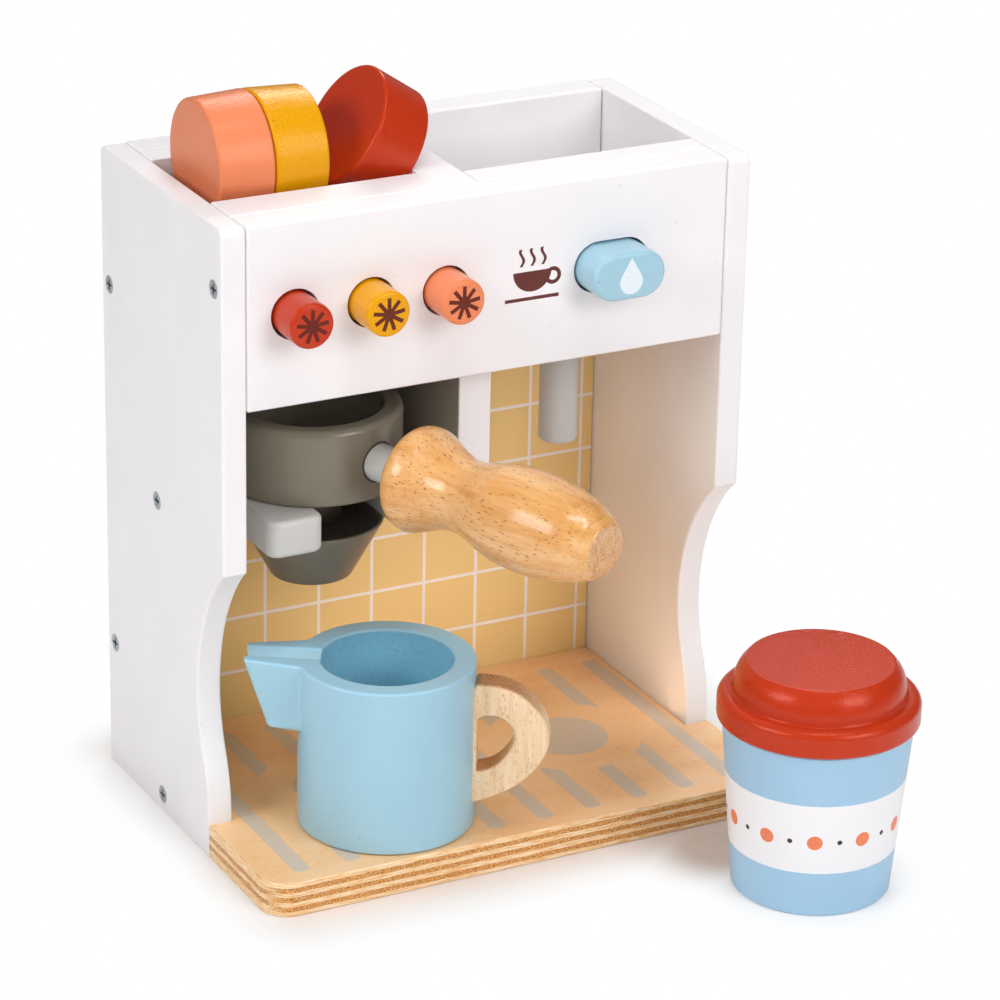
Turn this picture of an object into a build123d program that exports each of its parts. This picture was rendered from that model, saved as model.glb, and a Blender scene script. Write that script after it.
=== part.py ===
"""Toy coffee maker: a painted wooden cabinet with pods, a filter holder, a jug and a lidded cup.

Millimetres, X to the right, Y to the back, Z up. The origin lies on the floor, midway between
the side panels and midway along their depth. Every piece is one solid in its own node, apart
from the screws, which share one node for each board that they go through.
"""
from build123d import *
import math
import os

# Cabinet
CABINET_WIDTH = 222.0          # over the side panels
CABINET_DEPTH = 113.4          # front edge to back edge of a side panel
CABINET_HEIGHT = 260.0
PANEL_T = 10.0                 # side panels
FASCIA_T = 14.0
RAIL_T = 14.0                  # inner rails behind the fascia
DIVIDER_T = 14.0
BACK_T = 13.8
BASE_T = 14.0
STORAGE_FLOOR_T = 10.0
GLUE_LINE = 0.2                # paint and glue left between two boards
RUNNING_GAP = 0.3              # between pieces that move past each other
GLUE_FIT = 0.05                # radial play of a glued dowel
CUT_MARGIN = 5.0               # that an open cut runs past its board
BOARD_ROUND = 1.0              # sanded edge of a painted board
PANEL_CORNER_R = 3.0           # top corners of a side panel, seen from the side

# Front edge of a side panel: straight, a hollow curve with its waist, and a straight foot
CURVE_TOP_Z = 124.0
WAIST_Z = 67.0
WAIST_SETBACK = 25.2
FOOT_Z = 16.0
FOOT_SETBACK = 15.0

# Base board
BASE_FRONT_REACH = 43.2        # in front of the side panels' straight edges
BASE_CORNER_R = 11.0
BASE_ROUND = 0.6

# Fascia and buttons
FASCIA_HEIGHT = 72.0
ROUND_BUTTON_NAMES = ("red", "yellow", "peach")
FIRST_BUTTON_INSET = 19.5      # from the fascia's left end
BUTTON_PITCH = 31.0
BUTTON_R = 8.9
BLUE_BUTTON_INSET = 49.7       # from the fascia's right end
BLUE_BUTTON_FLAT = 12.0        # straight length between the two round ends
BLUE_BUTTON_R = 9.3
BUTTON_HOLE_GAP = 1.0
BUTTON_REACH = 15.0            # out of the fascia at rest
BUTTON_TRAVEL = 5.0
BUTTON_ROUND = 1.6
COLLAR_LIP = 1.3               # of the retaining collar beyond the hole's wall
COLLAR_T = 3.0
POCKET_GAP = 0.4               # around a collar in its pocket
POCKET_DEPTH = 12.0
SPRING_R = 5.0                 # to the middle of the wire
SPRING_WIRE_R = 0.4
SPRING_TURNS = 4.0

# Pod tray and pods
TRAY_T = 22.0
RECESS_DEPTH = 18.0
RECESS_BACK_WALL = 12.8
RECESS_RIGHT_WALL = 17.0
POD_R = 24.8
POD_SMALL_R = 23.8
POD_T = 22.3
POD_ROUND = 1.2
POD_LEFT_GAP = 5.6
POD_SIDE_GAP = 2.5             # to the recess's front and back walls
RED_POD_TILT = 31.2            # degrees that its axis dips to the right

# Divider, storage floor and water spout
LEFT_BAY_WIDTH = 94.8          # between the left side panel and the divider
STORAGE_DEPTH = 60.0           # of the storage bin, below the cabinet's top
SPOUT_R = 7.75
SPOUT_BOTTOM_Z = 136.0
SPOUT_SEAT = 6.0               # depth that it is glued into the storage floor
SPOUT_ROUND = 1.5

# Filter holder and its fork
HOLDER_SETBACK = 45.3          # of the filter holder's and the water spout's axis, behind the front
HOLDER_DROP = 0.4              # below the middle between the jug's rim and the fascia
FORK_T = 15.0
FORK_SETBACK = 5.7             # of the arms' ends, behind the front
FORK_ARM_WIDTH = 22.9
FORK_SLOT = 33.7               # between the two arms
FORK_ARM_LENGTH = 24.0         # in front of where the fork fills the bay
FORK_CORNER_R = 5.0
FORK_ROUND = 2.5
FILTER_R = 35.25
FILTER_INNER_R = 27.4
FILTER_HEIGHT = 30.5
FILTER_FLOOR = 6.0
FILTER_ROUND = 1.8
NECK_R = 12.0
NECK_PLAY = 0.6                # between the neck and the left arm
CONE_TOP_R = 28.9
CONE_BOTTOM_R = 16.0
CONE_HEIGHT = 23.8
CONE_GAP = 1.3                 # below the fork
CONE_ROUND = 0.8
STEM_R = 7.4
STEM_IN_FILTER = 6.0
STEM_IN_GRIP = 22.0
STEM_RISE = 15.6               # of the stem's axis above the filter cup's underside
GRIP_ANGLE = 68.7              # of the grip, from +X towards the front
GRIP_DROOP = 1.7
GRIP_START = 51.5              # from the filter cup's axis
# radius and station along the grip: face, flange, waist, belly, and the taper to the flat end
GRIP_PROFILE = ((16.5, 0.0), (20.0, 2.6), (20.7, 6.0), (19.4, 11.5), (16.3, 19.5), (14.3, 29.5),
                (15.6, 37.0), (18.0, 45.0), (19.6, 59.5), (19.2, 71.5), (16.6, 83.0), (12.0, 93.0),
                (9.2, 96.1))

# Jug
JUG_FROM_LEFT = 54.9           # from the left side panel to the jug's axis
JUG_FROM_FRONT = 36.1          # from the base board's front edge to the jug's axis
JUG_TURN = 31.0                # of the handle, from +X towards the front
JUG_R = 34.3
JUG_INNER_R = 25.7
JUG_HEIGHT = 67.6
JUG_FLOOR = 9.0
JUG_ROUND = 1.0
JUG_SPOUT_REACH = 54.6         # from the jug's axis
JUG_SPOUT_FOOT_REACH = 45.0
JUG_SPOUT_TIP_WIDTH = 16.4
JUG_SPOUT_ROOT_WIDTH = 27.0
JUG_SPOUT_ROOT = 30.0
JUG_SPOUT_HEIGHT = 27.6
JUG_GROOVE_WIDTH = 10.0
JUG_GROOVE_DEPTH = 4.2
JUG_HANDLE_T = 11.5
JUG_HANDLE_SEAT = 31.5         # flat in the body, from the jug's axis
JUG_HANDLE_STRIP = 3.4         # strip that is glued to the body
JUG_HANDLE_FOOT_Z = 8.9        # above the jug's underside
JUG_HANDLE_HOLE_FOOT_Z = 23.6
JUG_HANDLE_ROUND = 1.5
# distance from the jug's axis and height above its underside, from the top down
JUG_HANDLE_OUTER = ((41.4, 60.0), (55.0, 53.6), (63.2, 38.0), (57.3, 23.9), (44.7, 13.9))
JUG_HANDLE_INNER = ((35.6, 45.0), (39.5, 46.7), (44.0, 46.0), (48.0, 42.6), (49.2, 37.4),
                    (46.6, 31.0), (42.9, 26.8))
JUG_SEAT_PLAY = 0.4

# Cup and lid, standing beside the cabinet
CUP_X = 90.3
CUP_Y = -157.2
CUP_BOTTOM_R = 30.5
CUP_TOP_R = 36.6
CUP_HEIGHT = 69.2
CUP_WALL = 5.0
CUP_FLOOR = 8.0
CUP_ROUND = 1.0
LID_R = 38.8
LID_RIM_HEIGHT = 11.2
LID_RIM_ROUND = 3.2
LID_LOWER_ROUND = 1.5
LID_DOME_R = 33.0
LID_DOME_HEIGHT = 12.3
LID_DOME_ROUND = 5.0
LID_PLUG_DEPTH = 6.0
LID_PLUG_GAP = 1.0

# Countersunk screws
SCREW_HEAD_R = 3.65
SCREW_HEAD_HEIGHT = 2.2
SCREW_SHANK_R = 1.75
SCREW_LENGTH = 24.0
SCREW_CROSS_WIDTH = 0.9
SCREW_CROSS_LENGTH = 4.4
SCREW_CROSS_DEPTH = 1.1
SCREW_FIT = 0.05
SCREW_FASCIA_DROP = 24.2       # below the cabinet's top
SCREW_BACK_DROP = 54.6         # below the cabinet's top
SCREW_BACK_LOWER_Z = 53.5
SCREW_BASE_Y = 3.2
SCREW_SHELF_Y = 5.5
BACK_SCREW_BASE_X = 62.0
DIVIDER_SCREW_RISE = 37.8      # above the divider's lower end
DIVIDER_SCREW_DROP = 24.0      # below the tray

# Planes and centres that follow from the sizes above
FRONT_Y = -CABINET_DEPTH / 2
REAR_Y = CABINET_DEPTH / 2
FASCIA_BACK_Y = FRONT_Y + FASCIA_T
RAIL_BACK_Y = FASCIA_BACK_Y + RAIL_T
BACK_FRONT_Y = REAR_Y - BACK_T
INNER_X = CABINET_WIDTH / 2 - PANEL_T - GLUE_LINE
BASE_FRONT_Y = FRONT_Y - BASE_FRONT_REACH
FASCIA_BOTTOM_Z = CABINET_HEIGHT - FASCIA_HEIGHT
BUTTON_Z = (FASCIA_BOTTOM_Z + CABINET_HEIGHT) / 2
BLUE_BUTTON_X = INNER_X - BLUE_BUTTON_INSET
TRAY_BOTTOM_Z = CABINET_HEIGHT - TRAY_T
DIVIDER_LEFT_X = LEFT_BAY_WIDTH - INNER_X
DIVIDER_RIGHT_X = DIVIDER_LEFT_X + DIVIDER_T
DIVIDER_X = (DIVIDER_LEFT_X + DIVIDER_RIGHT_X) / 2
TRAY_RIGHT_X = DIVIDER_X
STORAGE_FLOOR_TOP_Z = CABINET_HEIGHT - STORAGE_DEPTH
STORAGE_FLOOR_BOTTOM_Z = STORAGE_FLOOR_TOP_Z - STORAGE_FLOOR_T
RAIL_BOTTOM_Z = STORAGE_FLOOR_BOTTOM_Z
JUG_X = JUG_FROM_LEFT - INNER_X
JUG_Y = BASE_FRONT_Y + JUG_FROM_FRONT
JUG_BOTTOM_Z = BASE_T + RUNNING_GAP
JUG_TOP_Z = JUG_BOTTOM_Z + JUG_HEIGHT
HOLDER_X = (DIVIDER_LEFT_X - INNER_X) / 2
HOLDER_Y = FRONT_Y + HOLDER_SETBACK
HOLDER_HEIGHT = CONE_HEIGHT + CONE_GAP + FORK_T + RUNNING_GAP + FILTER_HEIGHT
CONE_BOTTOM_Z = (JUG_TOP_Z + FASCIA_BOTTOM_Z - HOLDER_HEIGHT) / 2 - HOLDER_DROP
CONE_TOP_Z = CONE_BOTTOM_Z + CONE_HEIGHT
FORK_BOTTOM_Z = CONE_TOP_Z + CONE_GAP
FORK_TOP_Z = FORK_BOTTOM_Z + FORK_T
FORK_FRONT_Y = FRONT_Y + FORK_SETBACK
FORK_SHOULDER_Y = FORK_FRONT_Y + FORK_ARM_LENGTH
FILTER_BOTTOM_Z = FORK_TOP_Z + RUNNING_GAP
SPOUT_X = (DIVIDER_RIGHT_X + INNER_X) / 2
RECESS_FLOOR_Z = CABINET_HEIGHT - RECESS_DEPTH
RECESS_BACK_Y = BACK_FRONT_Y - RECESS_BACK_WALL
RECESS_FRONT_Y = RECESS_BACK_Y - 2 * (POD_R + POD_SIDE_GAP)
RECESS_RIGHT_X = TRAY_RIGHT_X - RECESS_RIGHT_WALL
POD_Y = (RECESS_FRONT_Y + RECESS_BACK_Y) / 2
COLLAR_FRONT_Y = FASCIA_BACK_Y + RUNNING_GAP
POCKET_BOTTOM_Y = FASCIA_BACK_Y + POCKET_DEPTH
SHELF_SCREW_Z = FORK_BOTTOM_Z + FORK_T / 2
JUG_HANDLE_TOP_Z = JUG_HANDLE_OUTER[0][1]
LID_PLUG_R = CUP_TOP_R - CUP_WALL - LID_PLUG_GAP


def block(x0, x1, y0, y1, z0, z1):
    """Plain box between two corners."""
    box = Box(x1 - x0, y1 - y0, z1 - z0)
    return Pos((x0 + x1) / 2, (y0 + y1) / 2, (z0 + z1) / 2) * box


def board(x0, x1, y0, y1, z0, z1, rounding=BOARD_ROUND):
    """Board between two corners, with all its edges sanded round."""
    plain = block(x0, x1, y0, y1, z0, z1)
    return fillet(plain.edges(), rounding)


def drum(radius, z0, z1):
    """Upright cylinder about Z between two heights."""
    return Pos(0, 0, (z0 + z1) / 2) * Cylinder(radius, z1 - z0)


def rod(start, direction, radius, length):
    """Cylinder from a point along a direction."""
    plane = Plane(origin=start, z_dir=direction)
    return extrude(plane * Circle(radius), length)


def turned(outline):
    """Solid of revolution about Z from the edges of a closed (radius, height) outline."""
    return revolve(Plane.XZ * make_face(outline), Axis.Z)


def eased(solid, radius, end):
    """Solid of revolution about Z with the outer edge of its lower (0) or upper (-1) end rounded."""
    return fillet(solid.edges().group_by(Axis.Z)[end], radius)


def countersunk_screw(head_centre, direction):
    """Screw with a flush countersunk head and a cross recess; direction points into the wood."""
    plane = Plane(origin=head_centre, z_dir=direction)
    head = Pos(0, 0, SCREW_HEAD_HEIGHT / 2) * Cone(SCREW_HEAD_R, SCREW_SHANK_R, SCREW_HEAD_HEIGHT)
    shank = drum(SCREW_SHANK_R, 0, SCREW_LENGTH)
    slot = Pos(0, 0, SCREW_CROSS_DEPTH / 2) * Box(SCREW_CROSS_LENGTH, SCREW_CROSS_WIDTH, SCREW_CROSS_DEPTH)
    return plane * (head + shank - slot - Rot(0, 0, 90) * slot)


def screw_seat(head_centre, direction):
    """Hole that a countersunk screw fills, a hair larger than the screw."""
    plane = Plane(origin=head_centre, z_dir=direction)
    head = Pos(0, 0, SCREW_HEAD_HEIGHT / 2) * Cone(
        SCREW_HEAD_R + SCREW_FIT, SCREW_SHANK_R + SCREW_FIT, SCREW_HEAD_HEIGHT
    )
    bore = drum(SCREW_SHANK_R + SCREW_FIT, 0, SCREW_LENGTH + SCREW_FIT)
    return plane * (head + bore)


def side_screw_places(side):
    """Head centres of one side panel's screws; side is -1 on the left and +1 on the right."""
    x = side * CABINET_WIDTH / 2
    back_y = REAR_Y - BACK_T / 2
    fascia_y = FRONT_Y + FASCIA_T / 2
    shelf_z = SHELF_SCREW_Z if side < 0 else STORAGE_FLOOR_TOP_Z - STORAGE_FLOOR_T / 2
    return [
        (x, back_y, CABINET_HEIGHT - SCREW_BACK_DROP),
        (x, back_y, SCREW_BACK_LOWER_Z),
        (x, fascia_y, CABINET_HEIGHT - SCREW_FASCIA_DROP),
        (x, SCREW_SHELF_Y, shelf_z),
        (x, SCREW_BASE_Y, BASE_T / 2),
    ]


def back_screw_places():
    """Head centres of the screws through the back panel."""
    divider_zs = (FORK_BOTTOM_Z + DIVIDER_SCREW_RISE, TRAY_BOTTOM_Z - DIVIDER_SCREW_DROP)
    divider = [(DIVIDER_X, REAR_Y, z) for z in divider_zs]
    base = [(x, REAR_Y, BASE_T / 2) for x in (-BACK_SCREW_BASE_X, BACK_SCREW_BASE_X)]
    fork = [(HOLDER_X, REAR_Y, SHELF_SCREW_Z)]
    return divider + base + fork


LEFT_SCREWS = [(place, (1, 0, 0)) for place in side_screw_places(-1)]
RIGHT_SCREWS = [(place, (-1, 0, 0)) for place in side_screw_places(1)]
BACK_SCREWS = [(place, (0, -1, 0)) for place in back_screw_places()]


def drilled(solid, screws):
    """Solid with the seats of the screws that reach into it."""
    for place, direction in screws:
        solid = solid - screw_seat(place, direction)
    return solid


def screw_group(screws):
    """Several separate screws as one group."""
    return Compound(children=[countersunk_screw(place, direction) for place, direction in screws])


def side_panel(side):
    """Side panel: straight front edge above, hollow curve of arcs, and a straight foot."""
    top = (FRONT_Y, CURVE_TOP_Z)
    waist = (FRONT_Y + WAIST_SETBACK, WAIST_Z)
    foot = (FRONT_Y + FOOT_SETBACK, FOOT_Z)
    middle = ((waist[0] + foot[0]) / 2, (waist[1] + foot[1]) / 2)
    outline = [
        Line((REAR_Y, 0), (REAR_Y, CABINET_HEIGHT)),
        Line((REAR_Y, CABINET_HEIGHT), (FRONT_Y, CABINET_HEIGHT)),
        Line((FRONT_Y, CABINET_HEIGHT), top),
        TangentArc(waist, top, tangent=(0, 1)),
        TangentArc(waist, middle, tangent=(0, -1)),
        TangentArc(foot, middle, tangent=(0, 1)),
        Line(foot, (foot[0], 0)),
        Line((foot[0], 0), (REAR_Y, 0)),
    ]
    inner_x = side * (CABINET_WIDTH / 2 - PANEL_T)
    plane = Plane(origin=(inner_x, 0, 0), x_dir=(0, 1, 0), z_dir=(1, 0, 0))
    panel = extrude(plane * make_face(outline), side * PANEL_T)
    corners = panel.edges().filter_by(Axis.X).sort_by(Axis.Z)[-2:]
    panel = fillet(corners, PANEL_CORNER_R)
    rims = panel.faces().filter_by(Axis.X).edges()
    panel = fillet(rims, BOARD_ROUND)
    return drilled(panel, LEFT_SCREWS if side < 0 else RIGHT_SCREWS)


def back_panel():
    """Board between the side panels that closes the back."""
    plain = board(-INNER_X, INNER_X, BACK_FRONT_Y, REAR_Y, 0, CABINET_HEIGHT)
    return drilled(plain, LEFT_SCREWS[:2] + RIGHT_SCREWS[:2] + BACK_SCREWS)


def base_board():
    """T-shaped board: full width in front of the side panels and between them behind."""
    shoulder_y = FRONT_Y + FOOT_SETBACK - GLUE_LINE
    half = CABINET_WIDTH / 2
    front = block(-half, half, BASE_FRONT_Y, shoulder_y, 0, BASE_T)
    corners = front.edges().filter_by(Axis.Z).sort_by(Axis.Y)[:2]
    front = fillet(corners, BASE_CORNER_R)
    tongue = block(-INNER_X, INNER_X, shoulder_y, BACK_FRONT_Y - GLUE_LINE, 0, BASE_T)
    whole = front + tongue
    rims = whole.faces().filter_by(Axis.Z).edges()
    whole = fillet(rims, BASE_ROUND)
    return drilled(whole, [LEFT_SCREWS[4], RIGHT_SCREWS[4]] + BACK_SCREWS[2:4])


def button_face(radius, flat):
    """Round or stadium outline of a button, standing in XZ and facing the front."""
    plane = Plane(origin=(0, 0, 0), x_dir=(1, 0, 0), z_dir=(0, -1, 0))
    shape = Circle(radius) if flat == 0 else SlotCenterToCenter(flat, 2 * radius)
    return plane * shape


def button_prism(x, radius, flat, y0, y1):
    """Prism of a button outline between two depths."""
    return extrude(Pos(x, y1, BUTTON_Z) * button_face(radius, flat), y1 - y0)


BUTTONS = {
    name: (FIRST_BUTTON_INSET - INNER_X + BUTTON_PITCH * i, BUTTON_R, 0)
    for i, name in enumerate(ROUND_BUTTON_NAMES)
}
BUTTONS["blue"] = (BLUE_BUTTON_X, BLUE_BUTTON_R, BLUE_BUTTON_FLAT)


def front_fascia():
    """Front board with a clearance hole for each button."""
    fascia = board(-INNER_X, INNER_X, FRONT_Y, FASCIA_BACK_Y, FASCIA_BOTTOM_Z, CABINET_HEIGHT)
    for x, radius, flat in BUTTONS.values():
        fascia = fascia - button_prism(x, radius + BUTTON_HOLE_GAP, flat, FRONT_Y, FASCIA_BACK_Y)
    return drilled(fascia, [LEFT_SCREWS[2], RIGHT_SCREWS[2]])


def collar_radius(radius):
    """Radius of the collar that holds a button of this radius behind the fascia."""
    return radius + BUTTON_HOLE_GAP + COLLAR_LIP


def with_pockets(rail, names):
    """Rail with the pockets that hold these buttons' collars and springs."""
    for name in names:
        x, radius, flat = BUTTONS[name]
        size = collar_radius(radius) + POCKET_GAP
        rail = rail - button_prism(x, size, flat, FASCIA_BACK_Y, POCKET_BOTTOM_Y)
    return rail


def left_inner_rail():
    """Rail behind the fascia, below the pod tray."""
    rail = board(
        -INNER_X, DIVIDER_LEFT_X - GLUE_LINE, FASCIA_BACK_Y + GLUE_LINE, RAIL_BACK_Y,
        RAIL_BOTTOM_Z, TRAY_BOTTOM_Z - GLUE_LINE,
    )
    return with_pockets(rail, ROUND_BUTTON_NAMES)


def right_inner_rail():
    """Rail behind the fascia that closes the storage bin's front, notched over the divider."""
    rail = board(
        TRAY_RIGHT_X + GLUE_LINE, INNER_X, FASCIA_BACK_Y + GLUE_LINE, RAIL_BACK_Y,
        RAIL_BOTTOM_Z, CABINET_HEIGHT,
    )
    notch = block(
        DIVIDER_LEFT_X, DIVIDER_RIGHT_X + GLUE_LINE, FRONT_Y, REAR_Y,
        RAIL_BOTTOM_Z - CUT_MARGIN, TRAY_BOTTOM_Z + GLUE_LINE,
    )
    return with_pockets(rail - notch, ["blue"])


def pod_tray():
    """Block with the pod recess, which is open to the left side panel."""
    plain = board(
        -INNER_X, TRAY_RIGHT_X, FASCIA_BACK_Y + GLUE_LINE, BACK_FRONT_Y - GLUE_LINE,
        TRAY_BOTTOM_Z, CABINET_HEIGHT,
    )
    recess = block(
        -INNER_X - CUT_MARGIN, RECESS_RIGHT_X, RECESS_FRONT_Y, RECESS_BACK_Y,
        RECESS_FLOOR_Z, CABINET_HEIGHT + CUT_MARGIN,
    )
    return plain - recess


def divider():
    """Upright board between the two bays."""
    plain = board(
        DIVIDER_LEFT_X, DIVIDER_RIGHT_X, FASCIA_BACK_Y + GLUE_LINE, BACK_FRONT_Y - GLUE_LINE,
        FORK_BOTTOM_Z, TRAY_BOTTOM_Z - GLUE_LINE,
    )
    return drilled(plain, BACK_SCREWS[:2])


def storage_floor():
    """Floor of the storage bin, with the blind hole that the water spout is glued into."""
    plain = board(
        DIVIDER_RIGHT_X + GLUE_LINE, INNER_X, RAIL_BACK_Y + GLUE_LINE, BACK_FRONT_Y - GLUE_LINE,
        STORAGE_FLOOR_BOTTOM_Z, STORAGE_FLOOR_TOP_Z,
    )
    seat = rod((SPOUT_X, HOLDER_Y, STORAGE_FLOOR_BOTTOM_Z), (0, 0, 1), SPOUT_R + GLUE_FIT, SPOUT_SEAT)
    return drilled(plain - seat, [RIGHT_SCREWS[3]])


def water_spout():
    """Dowel that hangs under the storage floor."""
    length = STORAGE_FLOOR_BOTTOM_Z + SPOUT_SEAT - SPOUT_BOTTOM_Z
    dowel = rod((SPOUT_X, HOLDER_Y, SPOUT_BOTTOM_Z), (0, 0, 1), SPOUT_R, length)
    rim = dowel.faces().sort_by(Axis.Z)[0].edges()
    return fillet(rim, SPOUT_ROUND)


def portafilter_fork():
    """Shelf with a slot that opens to the front, for the filter holder's neck."""
    bay_right_x = DIVIDER_LEFT_X - GLUE_LINE
    z0, z1 = FORK_BOTTOM_Z, FORK_TOP_Z
    rear = block(-INNER_X, bay_right_x, FORK_SHOULDER_Y, BACK_FRONT_Y - GLUE_LINE, z0, z1)
    slot_left_x = HOLDER_X - NECK_R - NECK_PLAY
    slot_right_x = slot_left_x + FORK_SLOT
    arms = block(
        slot_left_x - FORK_ARM_WIDTH, slot_right_x + FORK_ARM_WIDTH,
        FORK_FRONT_Y, FORK_SHOULDER_Y, z0, z1,
    )
    mouth = block(slot_left_x, slot_right_x, FORK_FRONT_Y - CUT_MARGIN, HOLDER_Y, z0, z1)
    throat_x = (slot_left_x + slot_right_x) / 2
    throat = rod((throat_x, HOLDER_Y, z0), (0, 0, 1), FORK_SLOT / 2, FORK_T)
    fork = rear + arms - mouth - throat
    corners = fork.edges().filter_by(Axis.Z).group_by(Axis.Y)[0]
    fork = fillet(corners, FORK_CORNER_R)
    rims = fork.faces().filter_by(Axis.Z).edges()
    fork = fillet(rims, FORK_ROUND)
    return drilled(fork, [LEFT_SCREWS[3], BACK_SCREWS[4]])


def round_button(name):
    """Painted button that passes through the fascia, with its front edge rounded."""
    x, radius, flat = BUTTONS[name]
    button = button_prism(x, radius, flat, FRONT_Y - BUTTON_REACH, COLLAR_FRONT_Y)
    rim = button.faces().sort_by(Axis.Y)[0].edges()
    return fillet(rim, BUTTON_ROUND)


def button_collar(name):
    """Plate on the button's inner end that keeps it from falling out."""
    x, radius, flat = BUTTONS[name]
    return button_prism(x, collar_radius(radius), flat, COLLAR_FRONT_Y, COLLAR_FRONT_Y + COLLAR_T)


def button_spring(name):
    """Coil spring between a collar and the bottom of its pocket."""
    x = BUTTONS[name][0]
    y0 = COLLAR_FRONT_Y + COLLAR_T + RUNNING_GAP + SPRING_WIRE_R
    y1 = POCKET_BOTTOM_Y - RUNNING_GAP - SPRING_WIRE_R
    path = Helix(pitch=(y1 - y0) / SPRING_TURNS, height=y1 - y0, radius=SPRING_R)
    section = Plane(origin=path @ 0, z_dir=path % 0) * Circle(SPRING_WIRE_R)
    coil = sweep(section, path=path, is_frenet=True)
    return Pos(x, y0, BUTTON_Z) * Rot(-90, 0, 0) * coil


def pod():
    """Tapered disc about Z with its large face at z = 0 and the small one above."""
    disc = Pos(0, 0, POD_T / 2) * Cone(POD_R, POD_SMALL_R, POD_T)
    return eased(eased(disc, POD_ROUND, 0), POD_ROUND, -1)


def pods():
    """Two pods that stand on edge, large faces together, and one that leans on the recess wall."""
    standing_z = RECESS_FLOOR_Z + RUNNING_GAP + POD_R
    shared_x = -INNER_X + POD_LEFT_GAP + POD_T
    peach = Pos(shared_x, POD_Y, standing_z) * Rot(0, -90, 0) * pod()
    yellow = Pos(shared_x + RUNNING_GAP, POD_Y, standing_z) * Rot(0, 90, 0) * pod()
    return {"peach_pod": peach, "yellow_pod": yellow, "red_pod": leaning_pod()}


def leaning_pod():
    """Pod whose small face leans on the right wall's top edge and whose rim is on the floor."""
    tilt = math.radians(RED_POD_TILT)
    foot_z = RECESS_FLOOR_Z + RUNNING_GAP
    lean = (CABINET_HEIGHT - foot_z) * math.tan(tilt)
    foot_x = RECESS_RIGHT_X - RUNNING_GAP / math.cos(tilt) - lean
    centre_x = foot_x + POD_SMALL_R * math.sin(tilt)
    centre_z = foot_z + POD_SMALL_R * math.cos(tilt)
    large_x = centre_x - POD_T * math.cos(tilt)
    large_z = centre_z + POD_T * math.sin(tilt)
    return Pos(large_x, POD_Y, large_z) * Rot(0, 90 + RED_POD_TILT, 0) * pod()


def grip_frame():
    """Plane at the filter cup's axis whose Z runs out along the grip."""
    angle = math.radians(GRIP_ANGLE)
    droop = math.radians(GRIP_DROOP)
    out = (
        math.cos(angle) * math.cos(droop),
        -math.sin(angle) * math.cos(droop),
        -math.sin(droop),
    )
    return Plane(origin=(HOLDER_X, HOLDER_Y, FILTER_BOTTOM_Z + STEM_RISE), z_dir=out)


def filter_cup():
    """Thick-walled cup with a hole for the stem."""
    cup = drum(FILTER_R, 0, FILTER_HEIGHT) - drum(FILTER_INNER_R, FILTER_FLOOR, FILTER_HEIGHT)
    cup = eased(eased(cup, BOARD_ROUND, 0), FILTER_ROUND, -1)
    start = FILTER_R - STEM_IN_FILTER - GLUE_FIT
    bore = grip_frame() * drum(STEM_R + GLUE_FIT, start, GRIP_START)
    return Pos(HOLDER_X, HOLDER_Y, FILTER_BOTTOM_Z) * cup - bore


def filter_neck():
    """Spindle between the filter cup and the cone, in the fork's slot."""
    length = FILTER_BOTTOM_Z - RUNNING_GAP - CONE_TOP_Z
    return rod((HOLDER_X, HOLDER_Y, CONE_TOP_Z), (0, 0, 1), NECK_R, length)


def filter_cone():
    """Solid cone with a flat top, below the fork."""
    cone = Pos(0, 0, CONE_HEIGHT / 2) * Cone(CONE_BOTTOM_R, CONE_TOP_R, CONE_HEIGHT)
    cone = eased(eased(cone, CONE_ROUND, 0), CONE_ROUND, -1)
    return Pos(HOLDER_X, HOLDER_Y, CONE_TOP_Z - CONE_HEIGHT) * cone


def handle_stem():
    """Dowel glued into the filter cup and the grip."""
    return grip_frame() * drum(STEM_R, FILTER_R - STEM_IN_FILTER, GRIP_START + STEM_IN_GRIP)


def handle_grip():
    """Turned grip: rounded flange, waist, belly and a flat end, with a blind bore."""
    face, end = GRIP_PROFILE[0], GRIP_PROFILE[-1]
    body = turned([
        Line((0, face[1]), face),
        Spline(*GRIP_PROFILE),
        Polyline(end, (0, end[1]), (0, face[1])),
    ])
    bore = drum(STEM_R + GLUE_FIT, 0, STEM_IN_GRIP + GLUE_FIT)
    return grip_frame() * (Pos(0, 0, GRIP_START) * (body - bore))


def jug_place():
    """Jug's frame: X out along the handle, Z up from the jug's underside."""
    return Pos(JUG_X, JUG_Y, JUG_BOTTOM_Z) * Rot(0, 0, -JUG_TURN)


def jug_groove():
    """V-shaped groove from the spout's tip into the bowl, in the jug's frame."""
    half = JUG_GROOVE_WIDTH / 2
    section = make_face(Polyline((-half, 0), (half, 0), (0, -JUG_GROOVE_DEPTH), close=True))
    plane = Plane(origin=(0, 0, JUG_HEIGHT), x_dir=(0, 1, 0), z_dir=(-1, 0, 0))
    return extrude(plane * section, JUG_SPOUT_REACH + CUT_MARGIN)


def jug_body():
    """Thick-walled round jug with a flat seat for its handle."""
    body = drum(JUG_R, 0, JUG_HEIGHT) - drum(JUG_INNER_R, JUG_FLOOR, JUG_HEIGHT)
    body = eased(eased(body, JUG_ROUND, 0), JUG_ROUND, -1)
    half = JUG_HANDLE_T / 2 + JUG_SEAT_PLAY
    seat = block(
        JUG_HANDLE_SEAT, JUG_R + CUT_MARGIN, -half, half,
        JUG_HANDLE_FOOT_Z - JUG_SEAT_PLAY, JUG_HANDLE_TOP_Z + JUG_SEAT_PLAY,
    )
    return jug_place() * (body - seat - jug_groove())


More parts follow.
